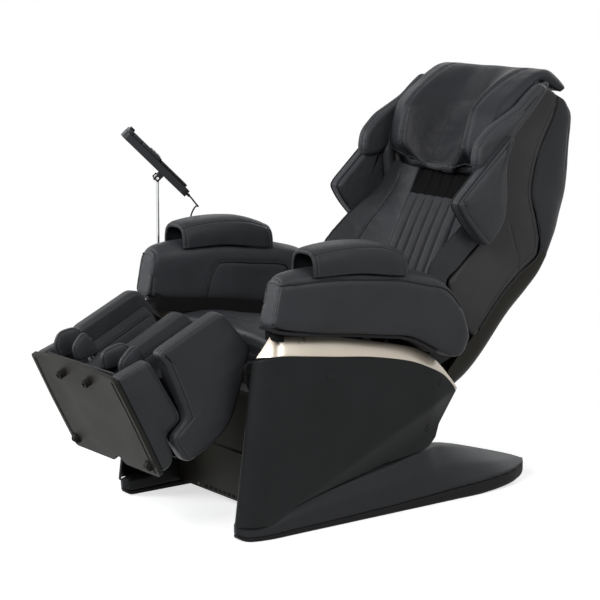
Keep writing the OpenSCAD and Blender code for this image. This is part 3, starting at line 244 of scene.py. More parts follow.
def group_with(name, inputs, outputs):
    """An empty node group with named float or colour sockets, given as (name, kind, value)."""
    group = bpy.data.node_groups.new(name, "ShaderNodeTree")
    for label, kind, value in inputs:
        made = group.interface.new_socket(label, in_out="INPUT", socket_type="NodeSocket" + kind)
        made.default_value = value
    for label, kind in outputs:
        group.interface.new_socket(label, in_out="OUTPUT", socket_type="NodeSocket" + kind)
    return group, group.nodes.new("NodeGroupInput"), group.nodes.new("NodeGroupOutput")


def moulding_grain():
    """Fine pebble of a spark-eroded mould: high noise over a low waviness, both in object space."""
    group, given, out = group_with("moulding grain", [("Scale", "Float", 900.0)],
                                   [("Height", "Float"), ("Tone", "Float")])
    place = node(group, "TexCoord")
    fine = node(group, "TexNoise", Vector=place.outputs["Object"], Scale=given.outputs["Scale"], Detail=2.0)
    wide = node(group, "TexNoise", Vector=place.outputs["Object"], Scale=7.0, Detail=3.0)
    group.links.new(fine.outputs["Fac"], out.inputs["Height"])
    group.links.new(wide.outputs["Fac"], out.inputs["Tone"])
    return group


mould_grain = moulding_grain()


def new_material(name, grain_group):
    """A material with its node tree, its shader and a node of the grain group."""
    mat = bpy.data.materials.new(name)
    mat.use_nodes = True
    t = mat.node_tree
    grain = t.nodes.new("ShaderNodeGroup")
    grain.node_tree = grain_group
    return mat, t, t.nodes["Principled BSDF"], grain


def drifting(tree, share, tone, spread, low, high):
    """The tone made darker by the spread up to the low share, and lighter by it from the high one."""
    blend = node(tree, "ValToRGB", Fac=share)
    for stop, place, scale in zip(blend.color_ramp.elements, (low, high), (1 - spread, 1 + spread)):
        stop.position, stop.color = place, tuple(min(1.0, c * scale) for c in tone[:3]) + (1.0,)
    return blend.outputs["Color"]


def moulded(name, tone, roughness, grain=900.0, depth=0.00012, spread=0.07, metallic=0.0, shine=0.14):
    """Moulded plastic, rubber or lacquer: the tone drifts a little, and the grain sets a fine bump."""
    mat, t, shader, g = new_material(name, mould_grain)
    g.inputs["Scale"].default_value = grain
    t.links.new(drifting(t, g.outputs["Tone"], tone, spread, 0.35, 0.65), shader.inputs["Base Color"])
    rough = mapped(t, g.outputs["Tone"], 0.3, 0.7, roughness - 0.04, roughness + 0.05)
    t.links.new(rough, shader.inputs["Roughness"])
    bump = node(t, "Bump", Height=g.outputs["Height"], Strength=0.6, Distance=depth)
    t.links.new(bump.outputs["Normal"], shader.inputs["Normal"])
    shader.inputs["Metallic"].default_value = metallic
    shader.inputs["Specular IOR Level"].default_value = shine
    return mat


def dress(obj, body, material, replaces=()):
    """Gives a finished piece its material and slot, and sets it on its body in place of CAD nodes."""
    obj.data.materials.clear()
    obj.data.materials.append(material)
    if replaces:
        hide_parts(*replaces)
    if body:
        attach(obj, body)


def finish_nodes(material, *names):
    """Gives CAD nodes that stay in view their material."""
    for name in names:
        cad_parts[name].data.materials.clear()
        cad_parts[name].data.materials.append(material)


# ---- Remote's cord -----------------------------------------------------------
# A thin black cord that leaves the strain relief at the remote's lower end, hangs in a curve behind
# the pole and goes down into a gland on the pole's turning collar.

stand_foot = np.array([-404.0, -217.0, 0.0])
clamp_height = 930.0
tilt_cos = tilt_sin = math.sqrt(0.5)
swing_cos, swing_sin = math.cos(math.radians(28)), math.sin(math.radians(28))


def at_remote(p):
    """Points of the remote's own frame, clamp at the origin and z up its length, set in the chair's."""
    p = np.asarray(p, float)
    y = p[..., 1] * tilt_cos - p[..., 2] * tilt_sin
    z = p[..., 1] * tilt_sin + p[..., 2] * tilt_cos
    return np.stack([p[..., 0] * swing_cos + y * swing_sin, y * swing_cos - p[..., 0] * swing_sin, z],
                    -1) + stand_foot + (0, 0, clamp_height)


boot_tip = at_remote([0, 28, -109.3])
boot_out = at_remote([0, 28, -115.3])
gland_top = stand_foot + (30, 11, 488.2)
cord_route = np.vstack([boot_tip, boot_out,
                        [ [-352, -114, 850], [-362, -98, 838], [-390, -88, 834], [-412, -90, 806],
                         [-417, -104, 740], [-414, -132, 660], [-408, -164, 580], [-392, -190, 520],
                         [-380, -202, 502]],
                        gland_top + (0, 0, 6), gland_top])
cord_line = along(cord_route, np.linspace(0, 1, 141))
cord_rubber = moulded("cord rubber", colour(34, 34, 36), 0.5, 1400, 0.00008)
remote_lead = rod("remote_lead", cord_line, 2.5, 12, (0.0, 1.0, 0.2))
dress(remote_lead, None, cord_rubber, ["remote_cord"])
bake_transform(remote_lead)


# ---- Floor -------------------------------------------------------------------
# A pale, even sheet that the chair stands on. It shows the soft shadow under the chair and no edge.

def pale_floor():
    """A wide square floor that is white to the eye and keeps a faint shadow. The shadow fades out where the
    distance from the middle goes from 0.9 to 1.6 metres."""
    reach, level, fade_from, fade_to = 30000.0, -0.6, 0.9, 1.6
    corners = [[x, y, level] for x, y in ((-reach, -reach), (reach, -reach), (reach, reach), (-reach, reach))]
    floor = mesh_of("floor", np.array(corners), [np.array([[0, 1, 2, 3]])], False)
    mat = bpy.data.materials.new("floor white")
    t = bare_tree(mat)
    paper, dim = (node(t, "BsdfDiffuse", Color=(v, v, v, 1)) for v in (0.7, 0.15))
    glow, white = (node(t, "Emission", Strength=v) for v in (0.66, 1.0))
    lit = node(t, "AddShader")
    t.links.new(paper.outputs[0], lit.inputs[0])
    t.links.new(glow.outputs[0], lit.inputs[1])
    far = node(t, "VectorMath", operation="LENGTH", _0=node(t, "TexCoord").outputs["Object"])
    fade = mapped(t, far.outputs["Value"], fade_from, fade_to, interpolation_type="SMOOTHSTEP")
    node(t, "OutputMaterial", Surface=mixed(t, seen_rays(t), dim, mixed(t, fade, lit, white)).outputs[0])
    floor.data.materials.append(mat)


pale_floor()


# ---- Feet under the side covers ----------------------------------------------
# Two long boat-shaped shells of moulded grey plastic, one under each side cover. Each stands on a
# black rubber rim that is pressed round its lower edge.

half_seat = 262.0
side_out = half_seat + 83
foot_line = [
    [-424, 16, 20, 0.872, 52, 0.878, 0.84], [-412, 4, 14, 0.885, 53, 0.915, 0.8],
    [-388, 0, 12, 0.925, 54, 0.965, 0.8], [-330, 0, 13, 0.958, 56, 1.0, 0.8],
    [-250, 0, 15, 0.955, 78, 1.0, 0.8], [-120, 0, 17, 0.935, 104, 1.0, 0.8],
    [100, 0, 23, 0.91, 134, 1.0, 0.8], [200, 0, 27, 0.882, 149, 1.0, 0.8], [265, 0, 30, 0.85, 157, 1.0, 0.8],
    [330, 0, 33, 0.77, 157, 1.0, 0.66], [440, 0, 37, 0.71, 132, 1.0, 0.56], [560, 8, 44, 0.7, 98, 0.97, 0.56],
    [640, 18, 52, 0.72, 74, 0.88, 0.6], [672, 34, 56, 0.76, 63, 0.8, 0.7]]


def rounded_loop(corners, radius, n):
    """Closed corner outlines, all rounded by quadratic arcs of the radius, as n evenly spaced places each."""
    p = np.asarray(corners, float)
    before, after = np.roll(p, 1, -2) - p, np.roll(p, -1, -2) - p
    reach_a = np.minimum(radius, np.linalg.norm(before, axis=-1, keepdims=True) * 0.45)
    reach_b = np.minimum(radius, np.linalg.norm(after, axis=-1, keepdims=True) * 0.45)
    a, b = p + unit(before) * reach_a, p + unit(after) * reach_b
    t = np.linspace(0, 1, 8)[:, None]
    bent = (1 - t) ** 2 * a[..., None, :] + 2 * t * (1 - t) * p[..., None, :] + t ** 2 * b[..., None, :]
    return evenly(bent.reshape(*p.shape[:-2], -1, p.shape[-1]), n)


def evenly(loop, n, closed=True):
    """The same outline, or stack of outlines, with n places evenly spaced along its length."""
    p = np.concatenate([loop, loop[..., :1, :]], -2) if closed else np.asarray(loop, float)
    flat = p.reshape(-1, *p.shape[-2:])
    step = np.linalg.norm(np.diff(flat, axis=1), axis=-1)
    length = np.concatenate([np.zeros((len(flat), 1)), np.cumsum(step, 1)], 1)
    length /= length[:, -1:]
    want = np.arange(n) / n if closed else np.linspace(0, 1, n)
    made = np.stack([np.stack([np.interp(want, length[k], flat[k, :, c]) for c in range(p.shape[-1])], -1)
                     for k in range(len(flat))])
    return made.reshape(*p.shape[:-2], n, p.shape[-1])


def foot_rings(corners, radius):
    """Rings of a foot along its length: corners(q) gives each ring's outline from the rows of foot_line."""
    q = along(foot_line, np.linspace(0, 1, 120))
    flat = np.stack([np.stack(c, -1) for c in corners(q)], 1)
    bent = rounded_loop(flat, radius, 56)
    y = np.broadcast_to(q[:, None, 0:1], bent.shape[:2] + (1,))
    return np.concatenate([bent[..., :1], y, bent[..., 1:]], -1)


def shell_corners(q):
    """Corners of the shell: up its inner wall, over its ridge and down its outer wall."""
    ridge, outer, inner = (q[:, c] * side_out for c in (3, 5, 6))
    low, top = q[:, 2], q[:, 4]
    return [(inner, low), (inner, top - 4), (ridge - 8, top), (ridge, top - 2),
            ((q[:, 3] + q[:, 5]) / 2 * side_out + 4, (low + top) / 2 + 4), (outer, low + 4), (outer, low)]


def rim_corners(q):
    """Corners of the rubber rim under the shell."""
    outer, inner, low, floor = q[:, 5] * side_out, q[:, 6] * side_out, q[:, 2], np.maximum(0, q[:, 1])
    return [(inner, floor), (inner, low), (outer + 1.5, low), (outer + 1.5, floor + 3), (outer - 3, floor)]


shell_rings, rim_rings = foot_rings(shell_corners, 7), foot_rings(rim_corners, 2)
grey_plastic = moulded("grey plastic", colour(42, 43, 45), 0.45)
rim_rubber = moulded("rim rubber", colour(22, 22, 23), 0.62, 1500, 0.0001)
for _, label, turn in both_sides:
    foot_shell = skin("foot_shell_" + label, shell_rings * turn)
    dress(foot_shell, "base", grey_plastic, ["base_shell_" + label])
for _, label, turn in both_sides:
    dress(skin("foot_rim_" + label, rim_rings * turn), "base", rim_rubber, ["base_rims"])


# ---- Side covers -------------------------------------------------------------
# The large grey side panels, moulded in one piece each. A sharp diagonal crease runs from the front
# foot to the rear, and the panel is scooped in under it. Three round caps hide its screws.

cover_low = [[-430, 44], [-372, 41.5], [-318, 42], [-249, 79], [-115, 108], [103, 139], [250, 161],
             [297, 190]]
cover_high = [[-368, 505], [-335, 511], [-288, 512.5], [-200, 502], [-112, 490], [21, 473], [158, 444],
              [241, 412], [295, 383], [349, 330]]
crease_from, crease_to = np.array([-299.0, 62]), np.array([277.0, 310])


def smooth01(v):
    """Soft step from 0 to 1: three squares less two cubes."""
    c = np.clip(v, 0, 1)
    return c * c * (3 - 2 * c)


def cover_face(y, z):
    """Outer x of the cover: rounded in at the front, and scooped by the distance below the crease."""
    front = -430 + (z - 44) * 62 / 461
    w = 1 - np.clip((y - front) / 75, 0, 1)
    d = unit(crease_to - crease_from)
    below = (y - crease_from[0]) * d[1] - (z - crease_from[1]) * d[0]
    under = (below + np.sqrt(below * below + 90)) / 2
    return (side_out - 45 * (1 - np.sqrt(np.maximum(0, 1 - w * w))) - np.minimum(40, 0.45 * under)
            - 10 * smooth01((y - 240) / 110)), w


def cover_grid(s, t, depth):
    """Points of the cover at s along and t up it, moved inwards by the depth."""
    a, b = along(cover_low, s), along(cover_high, s)
    p = a + (b - a) * t[..., None]
    x, w = cover_face(p[..., 0], p[..., 1])
    return np.stack([x - depth, p[..., 0] + depth * w, p[..., 1]], -1)


def rim_steps(n, reach):
    """Places from 0 to 1 with extra ones inside the reach at each end, for a rounded rim."""
    near = reach * (1 - np.cos(np.linspace(0, math.pi / 2, 6)))
    return np.concatenate([near, np.linspace(reach, 1 - reach, n)[1:-1], 1 - near[::-1]])


def slab(name, grid, n_s, n_t, wall, reach_s, reach_t):
    """A wall with half-round edges: the grid at depth 0 and at the wall, drawn together near each edge."""
    ss, tt = np.meshgrid(rim_steps(n_s, reach_s), rim_steps(n_t, reach_t), indexing="ij")
    edge = np.minimum(np.minimum(ss, 1 - ss) / reach_s, np.minimum(tt, 1 - tt) / reach_t)
    round_in = wall / 2 * (1 - np.sqrt(np.maximum(0, 1 - (1 - np.clip(edge, 0, 1)) ** 2)))
    outer, inner = grid(ss, tt, round_in), grid(ss, tt, wall - round_in)
    m, n, _ = outer.shape
    back = skin_faces(m, n, False)[:, ::-1] + m * n
    return mesh_of(name, np.vstack([outer.reshape(-1, 3), inner.reshape(-1, 3)]),
                   [skin_faces(m, n, False), back])


def side_pair(name, grid, *measures):
    """Left and right walls made by slab, the right one with its x turned round."""
    def right(s, t, depth):
        return grid(s, t, depth) * flip
    return [slab(name + "_left", grid, *measures), slab(name + "_right", right, *measures)]


cover_plastic = moulded("cover plastic", colour(37, 38, 39), 0.4, 1100, 0.00008, 0.1, shine=0.1)
covers = side_pair("cover", cover_grid, 170, 90, 4.0, 0.003, 0.006)
for piece, (_, label, _) in zip(covers, both_sides):
    dress(piece, "base", cover_plastic, ["side_cover_" + label])


def lathe(profile, sides):
    """A turned piece: the profile of (radius, height) rows goes once round the z axis."""
    p = np.asarray(profile, float)
    a = np.arange(sides) * 2 * math.pi / sides
    return np.stack([p[:, None, 0] * np.cos(a), p[:, None, 0] * np.sin(a),
                     np.broadcast_to(p[:, None, 1], (len(p), sides))], -1)


def facing(points, place, outward):
    """Moves points so that their z axis runs outward at the place."""
    w = unit(np.asarray(outward, float))
    u = unit(np.cross((0.0, 0.0, 1.0), w))
    return points @ np.stack([u, np.cross(w, u), w]) + np.asarray(place, float)


cap_profile = [[0.2, -3], [11.4, -3], [12.4, 0.2], [12.2, 1.1], [11.2, 1.7], [6, 2.2], [0.2, 2.4]]
rise = 4
for number, (y, z) in enumerate([(-133, 439), (276, 367), (251, 227)]):
    x = float(cover_face(np.array(y), np.array(z))[0])
    lean = float(cover_face(np.array(y), np.array(z + rise))[0]) - x
    for side in (1, -1):
        turned = facing(lathe(cap_profile, 48), (side * (x + 0.2), y, z), (side * rise, 0, -lean))
        cap = skin(f"screw_cap_{number}_{side + 1}", turned)
        dress(cap, "base", cover_plastic)


# ---- Champagne bands ---------------------------------------------------------
# A slim lacquered band lies in the gap between each side cover and the arm above it, and turns
# round the front in a small facet.

band_high = [[-308, 568], [-290, 567], [-260, 563], [-120, 547], [46, 513], [184, 479], [256, 443],
             [300, 404], [348, 342]]
band_depth = [[43, 40], [8, 30], [1, 25], [0, 23], [0, 22], [0, 22], [1, 22], [4, 20], [9, 12]]


def band_grid(s, t, depth):
    """Points of the band between the cover's upper edge and its own, both set back below the side."""
    a = along(cover_high, 0.05 + 0.94 * s) + (0, 0.6)
    b, d = along(band_high, s), along(band_depth, s)
    p = a + (b - a) * t[..., None]
    swell = 1.6 * np.sin(math.pi * np.clip(t, 0, 1)) ** 0.7
    return np.stack([side_out - d[..., 0] - (d[..., 1] - d[..., 0]) * t - depth + swell - 1.6,
                     p[..., 0] + depth * (1 - np.clip(s * 6, 0, 1)), p[..., 1]], -1)


champagne = moulded("champagne lacquer", colour(200, 190, 175), 0.3, 2200, 0.00002, 0.03, 0.55, 0.5)
champagne.node_tree.nodes["Principled BSDF"].inputs["Coat Weight"].default_value = 0.35
for piece in side_pair("band", band_grid, 150, 24, 3.0, 0.002, 0.03):
    dress(piece, "base", champagne, ["trims"])


# ---- Front skirt -------------------------------------------------------------
# The olive plastic panel between the feet, folded once across its width, with a row of air slots
# and two white screws near the floor.

olive_plastic = moulded("olive plastic", colour(40, 39, 34), 0.5, 700, 0.0002)
finish_nodes(olive_plastic, "front_skirt", "rear_panel")
slot_black = moulded("slot shadow", colour(10, 10, 10), 0.8)
white_screw = moulded("screw paint", colour(205, 205, 200), 0.4)


def bar_loops(x0, x1, y0, y1, z0, z1, r, n=28):
    """A rounded bar: box outline in x and z, drawn in where its depth along y starts."""
    corners = np.array([[x0, z0], [x1, z0], [x1, z1], [x0, z1]], float)
    mid = corners.mean(0)
    levels = [(y0, 0.6), (y0 + (y1 - y0) * 0.1, 0.2), (y0 + (y1 - y0) * 0.35, 0.0), (y1, 0.0)]
    rings = []
    for y, pull in levels:
        o = rounded_loop(corners + unit(mid - corners) * pull, r, n)
        rings.append(np.stack([o[:, 0], np.full(n, y), o[:, 1]], -1))
    return np.stack(rings)


for i in range(8):
    x = -141 + i * 23.5
    slot = skin(f"air_slot_{i}", bar_loops(x, x + 17, -230.5, -228, 26, 36, 3))
    dress(slot, "base", slot_black)
skirt_screw_profile = [[0.2, -2], [4.2, -2], [4.4, 0.4], [3.4, 1.2], [0.2, 1.4]]
for x in (-173, 173):
    screw = skin(f"skirt_screw_{x}", facing(lathe(skirt_screw_profile, 24), (x, -230, 31), (0, -1, 0)))
    dress(screw, "base", white_screw)


# ---- Seat cushion ------------------------------------------------------------
# The wide leather seat, foam filled, crowned across and sloping down to the rear. A seam parts the
# smooth sitting face from its front band.

def squircle(n, e, tall):
    """Even places round the curve |c|^e + |s|^e = 1, spaced by its length when s is stretched by tall."""
    a = np.linspace(0, 2 * math.pi, 6001)
    c = np.sign(np.cos(a)) * np.abs(np.cos(a)) ** (2 / e)
    s = np.sign(np.sin(a)) * np.abs(np.sin(a)) ** (2 / e)
    length = np.concatenate([[0], np.cumsum(np.hypot(np.diff(c), np.diff(s) * tall))])
    want = np.arange(n) * length[-1] / n
    return np.interp(want, length, c), np.interp(want, length, s)


def stuffed(stations, s, e, n, tall):
    """Rounded-box rings between low and high edges given as [y, z, y, z, x0, x1, crown] at each s."""
    q = along(stations, s)[:, None, :]
    c, t = (v[None, :] for v in squircle(n, e, tall))
    low, high = q[..., 0:2], q[..., 2:4]
    up = unit(high - low)
    lift = q[..., 6] * (1 - c * c) * np.maximum(0, t)
    yz = low + (high - low) * ((1 + t) / 2)[..., None] + lift[..., None] * up
    x = (q[..., 4] + q[..., 5]) / 2 - (q[..., 5] - q[..., 4]) / 2 * c
    return np.concatenate([x[..., None], yz], -1)


def closed_in(loops, steps):
    """The rings with more rings inside both ends, each drawn towards its middle by quarter-circle steps."""
    k = np.sin(np.linspace(0, math.pi / 2, steps + 1))[1:, None, None]
    first, last = loops[:1], loops[-1:]
    a, b = first.mean(1, keepdims=True), last.mean(1, keepdims=True)
    return np.concatenate([(first + (a - first) * k)[::-1], loops, last + (b - last) * k])


def surface_tree(obj):
    """A search tree over the faces of a piece, for laying lines on it."""
    bm = bmesh.new()
    bm.from_mesh(obj.data)
    found = BVHTree.FromBMesh(bm)
    bm.free()
    return found


def laid(tree, rows, step, over):
    """The smooth line through the rows, with places a step apart, laid on a surface and lifted over it."""
    dense = along(rows, np.linspace(0, 1, 40 * len(rows)))
    length = np.linalg.norm(np.diff(dense, axis=0), axis=1).sum()
    line = evenly(dense, max(4, int(length / step) + 1), closed=False)
    hits = [tree.find_nearest(Vector(p / 1000)) for p in line]
    place = np.array([h[0] for h in hits]) * 1000
    return place + np.array([h[1] for h in hits]) * over


def numbers(data, key, width):
    """One attribute of a mesh's elements as an array of that width."""
    made = np.empty(len(data) * width, np.float32)
    data.foreach_get(key, made)
    return made.reshape(-1, width) if width > 1 else made


def to_line(points, normals, line):
    """Signed distance of points from a line, sided by the normals, and the length along the line."""
    best = np.full(len(points), 1e9, np.float32)
    side, arc, far = np.zeros_like(best), np.zeros_like(best), 0.0
    for a, b in zip(line[:-1], line[1:]):
        d = b - a
        long = float(np.linalg.norm(d)) + 1e-9
        k = np.clip((points - a) @ (d / long ** 2), 0, 1)
        off = points - a - k[:, None] * d
        gap = np.linalg.norm(off, axis=1)
        near = gap < best
        best[near], arc[near] = gap[near], (far + k * long)[near]
        side[near] = np.einsum("ij,ij->i", np.cross(d, normals), off)[near]
        far += long
    return np.where(side < 0, -best, best), arc


def stitched(obj, lines, groove, width, puff=0.0):
    """Sinks seams into a piece and maps them: map 'seam' holds, in metres, each corner's distance from its
    face's nearest line and the length along that line, and 0.5 where no line is near. The groove has the
    given depth and width, and the leather may puff up beside it."""
    seam_step, reach, no_line = 7.0, 60.0, 500.0
    me = obj.data
    tree = surface_tree(obj)
    laid_lines = [laid(tree, rows, seam_step, 0.0) for rows in lines]
    points, normals = numbers(me.vertices, "co", 3) * 1000, numbers(me.vertices, "normal", 3)
    measured = [to_line(points, normals, line) for line in laid_lines]
    gap = np.stack([np.abs(m[0]) for m in measured])
    corner = numbers(me.loops, "vertex_index", 1).astype(int)
    total = numbers(me.polygons, "loop_total", 1).astype(int)
    start = np.concatenate([[0], np.cumsum(total)[:-1]])
    face = np.repeat(np.arange(len(total)), total)
    choice = np.add.reduceat(gap[:, corner], start, axis=1).argmin(0)[face]
    across = np.stack([m[0] for m in measured])[choice, corner]
    length = np.stack([m[1] for m in measured])[choice, corner]
    uv = np.stack([np.where(np.abs(across) > reach, no_line, across), length], 1) / 1000
    layer = me.uv_layers.new(name="seam")
    layer.data.foreach_set("uv", uv.astype(np.float32).ravel())
    nearest = gap.min(0)
    rise = puff * np.exp(-((nearest - 2.6 * width) / (1.6 * width)) ** 2)
    sink = groove * np.exp(-(nearest / width) ** 2) - rise
    moved = points - normals * sink[:, None]
    me.vertices.foreach_set("co", (moved / 1000).astype(np.float32).ravel())
    me.update()


def leather_grain():
    """Leather's own relief: small pebbles between fine creases, and slow waves where it lies slack."""
    group, given, out = group_with("leather grain", [("Pebble", "Float", 620.0), ("Slack", "Float", 0.4)],
                                   [("Height", "Float"), ("Tone", "Float"), ("Polish", "Float")])
    place = node(group, "TexCoord").outputs["Object"]

    def noise(scale, detail, **words):
        return node(group, "TexNoise", Vector=place, Scale=scale, Detail=detail, **words).outputs

    bent = node(group, "VectorMath", operation="MULTIPLY_ADD", _0=noise(60.0, 2.0)["Color"],
                _1=(0.004, 0.004, 0.004), _2=place)
    cells = node(group, "TexVoronoi", Vector=bent.outputs[0], Scale=given.outputs["Pebble"],
                 feature="DISTANCE_TO_EDGE")
    pebble = mapped(group, cells.outputs["Distance"], 0.0, 0.16, 0.0, 0.22)
    slack = maths(group, "MULTIPLY", noise(16.0, 3.0, Roughness=0.45)["Fac"], given.outputs["Slack"])
    fine = maths(group, "MULTIPLY_ADD", noise(110.0, 2.0)["Fac"], 0.25, pebble)
    group.links.new(maths(group, "MULTIPLY_ADD", slack, 14.0, fine), out.inputs["Height"])
    group.links.new(noise(5.0, 4.0, Roughness=0.6)["Fac"], out.inputs["Tone"])
    group.links.new(noise(9.0, 5.0, Roughness=0.7)["Fac"], out.inputs["Polish"])
    return group


def seam_work():
    """Seams from the map 'seam': a sharp fold at distance 0, stitches beside it, and puckers that fade."""
    group, given, out = group_with("seam work", [("Stitch Gap", "Float", 0.0042), ("Pucker", "Float", 0.5)],
                                   [("Height", "Float"), ("Fold Shade", "Float"), ("Thread", "Float")])
    stitch_length, ripples, fold_depth, thread_height = 0.0055, 230.0, 2.6, 0.9

    def step(value, low, high, start=1.0, end=0.0):
        return mapped(group, value, low, high, start, end, interpolation_type="SMOOTHSTEP")

    seam_map = node(group, "SeparateXYZ", Vector=node(group, "UVMap", uv_map="seam").outputs["UV"])
    length = seam_map.outputs["Y"]
    off = maths(group, "ABSOLUTE", seam_map.outputs["X"])
    fold = step(off, 0.0, 0.0022)
    from_row = maths(group, "ABSOLUTE", maths(group, "SUBTRACT", off, given.outputs["Stitch Gap"]))
    beat = maths(group, "FRACT", maths(group, "DIVIDE", length, stitch_length))
    dash = step(maths(group, "PINGPONG", beat, 0.5), 0.1, 0.2, 0.0, 1.0)
    thread = maths(group, "MULTIPLY", step(from_row, 0.0003, 0.0009), dash)
    drift = node(group, "TexNoise", Scale=40.0, Vector=node(group, "TexCoord").outputs["Object"])
    wander = maths(group, "MULTIPLY", drift.outputs["Fac"], 14.0)
    swing = maths(group, "MULTIPLY_ADD", length, ripples, wander)
    soft = maths(group, "MULTIPLY", maths(group, "SINE", swing), step(off, 0.002, 0.026))
    pucker = maths(group, "MULTIPLY", soft, given.outputs["Pucker"])
    sunk = maths(group, "MULTIPLY_ADD", fold, -fold_depth, pucker)
    group.links.new(maths(group, "MULTIPLY_ADD", thread, thread_height, sunk), out.inputs["Height"])
    group.links.new(fold, out.inputs["Fold Shade"])
    group.links.new(thread, out.inputs["Thread"])
    return group


grain_group, seam_group = leather_grain(), seam_work()


def leather(name, tone, roughness=0.42, pebble=620.0, slack=0.4, pucker=0.5, seams=True):
    """Leather: the tone and gloss drift over the hide, and the grain and seams set its bump. The fold at a
    seam is darkened by painted shade in its crease, and the thread has its own colour."""
    mat, t, shader, g = new_material(name, grain_group)
    g.inputs["Pebble"].default_value = pebble
    g.inputs["Slack"].default_value = slack
    base, height = drifting(t, g.outputs["Tone"], tone, 0.16, 0.3, 0.7), g.outputs["Height"]
    if seams:
        w = t.nodes.new("ShaderNodeGroup")
        w.node_tree = seam_group
        w.inputs["Pucker"].default_value = pucker
        # Painted shade: the fold's mask darkens the colour in the crease of each seam.
        for words, share, over in (({"blend_type": "MULTIPLY"}, "Fold Shade", (0.25, 0.25, 0.26, 1)),
                                   ({}, "Thread", colour(70, 71, 74))):
            blend = node(t, "Mix", data_type="RGBA", **words)
            t.links.new(w.outputs[share], blend.inputs[0])
            t.links.new(base, blend.inputs[6])
            blend.inputs[7].default_value = over
            base = blend.outputs[2]
        height = maths(t, "ADD", height, w.outputs["Height"])
    t.links.new(base, shader.inputs["Base Color"])
    shader.inputs["Specular IOR Level"].default_value = 0.16
    gloss = mapped(t, g.outputs["Polish"], 0.3, 0.7, roughness - 0.06, roughness + 0.08)
    t.links.new(gloss, shader.inputs["Roughness"])
    bump = node(t, "Bump", Height=height, Strength=0.55, Distance=0.0006)
    t.links.new(bump.outputs["Normal"], shader.inputs["Normal"])
    return mat


dark_leather = leather("dark leather", colour(53, 54, 57))
side_leather = leather("side leather", colour(60, 60, 61))
slack_leather = leather("slack leather", colour(52, 53, 56), slack=1.3, pucker=0.8)
black_leather = leather("black leather", colour(30, 31, 33), seams=False)
cuff_leather = leather("cuff leather", colour(43, 44, 47))
# The trough leather is darker than the walls' leather: painted shade for the hollows of the calf and foot
# troughs.
shade_darkened_trough_leather = leather("trough leather darkened for shade", colour(29, 30, 32))


def welt(name, line, radius, body="backrest"):
    """A piped edge of black leather along a line."""
    dress(rod(name, line, radius, 10), body, black_leather)


seat_front, seat_low, seat_top, seat_drop, seat_rear = -272.0, 434.0, 548.0, 62.0, 326.0
h, low_end = half_seat, seat_top - seat_drop
seat_stations = [
    [seat_front + 20, seat_low + 12, seat_front + 4, seat_top - 34, -h + 12, h - 12, 2],
    [seat_front + 30, seat_low, seat_front + 18, seat_top - 4, -h + 3, h - 3, 8],
    [seat_front + 90, seat_low, seat_front + 90, seat_top, -h, h, 16],
    [-60, seat_low, -60, seat_top - seat_drop * 0.35, -h, h, 16],
    [120, seat_low, 120, seat_top - seat_drop * 0.75, -h, h, 12],
    [270, seat_low, 270, low_end - 2, -h + 1, h - 1, 8],
    [seat_rear - 10, seat_low + 4, seat_rear - 6, low_end - 8, -h + 8, h - 8, 4],
    [seat_rear - 2, seat_low + 14, seat_rear, low_end - 22, -h + 18, h - 18, 1]]
seat_rings = closed_in(stuffed(seat_stations, np.linspace(0, 1, 110), 5, 220, 0.25), 8)
cushion = skin("seat_pad", seat_rings)
stitched(cushion, [[(x, -215, 570) for x in (-250, -120, 0, 120, 250)],
                   [(x, -240, 480) for x in (-250, 0, 250)],
                   [(-200, -215, 570), (-196, -60, 545), (-188, 120, 520), (-176, 300, 500)],
                   [(200, -215, 570), (196, -60, 545), (188, 120, 520), (176, 300, 500)]], 3.0, 8.0)
# Painted shade: the seat takes a darker leather than the arms and back, for the shade that falls on it.
shade_darkened_seat_leather = leather("seat leather darkened for shade", colour(38, 39, 42), slack=0.8, pucker=0.8)
dress(cushion, "base", shade_darkened_seat_leather, ["seat_cushion"])


# ---- Arms --------------------------------------------------------------------
# Two foam arms covered in dark leather. They slide back with the backrest, so each is a loose bolster
# of its own. It is piped along its upper outer edge and round its inner side, with a seam across its
# front end.

arm_in, arm_out = half_seat + 4, half_seat + 124
arm_line = [
    [-332, 600, -309, 706, arm_in + 20, arm_out - 34, 6],
    [-326, 594, -304, 716, arm_in + 15, arm_out - 28, 14],
    [-286, 584, -272, 722, arm_in + 10, arm_out - 20, 22],
    [-180, 568, -180, 726, arm_in + 1, arm_out - 4, 24], [-60, 553, -62, 724, arm_in, arm_out, 22],
    [50, 536, 48, 708, arm_in, arm_out - 2, 22], [140, 520, 160, 690, arm_in, arm_out - 6, 20],
    [212, 486, 256, 662, arm_in, arm_out - 8, 16], [276, 450, 322, 602, arm_in + 1, arm_out - 8, 8],
    [318, 440, 350, 540, arm_in + 2, arm_out - 8, 4], [342, 456, 362, 500, arm_in + 8, arm_out - 14, 1]]
arm_rings = closed_in(stuffed(arm_line, np.linspace(0, 1, 150), 6, 130, 1.2), 9)
arm_edge = [(346, -303, 712), (360, -296, 716), (372, -270, 719), (378, -207, 719), (380, -120, 715),
            (380, -32, 706), (378, 40, 698), (376, 107, 689), (374, 190, 668), (372, 275, 645),
            (372, 330, 590)]
arm_front = [(290, -318, 600), (288, -312, 660), (290, -300, 712), (300, -300, 728), (330, -299, 726),
             (346, -303, 712), (349, -318, 660), (348, -330, 600)]
arm_inner_pad = [(266, -135, 563), (266, -124, 620), (266, -104, 662), (266, -67, 676), (266, 40, 663),
                 (266, 143, 650), (266, 170, 631), (266, 182, 560)]
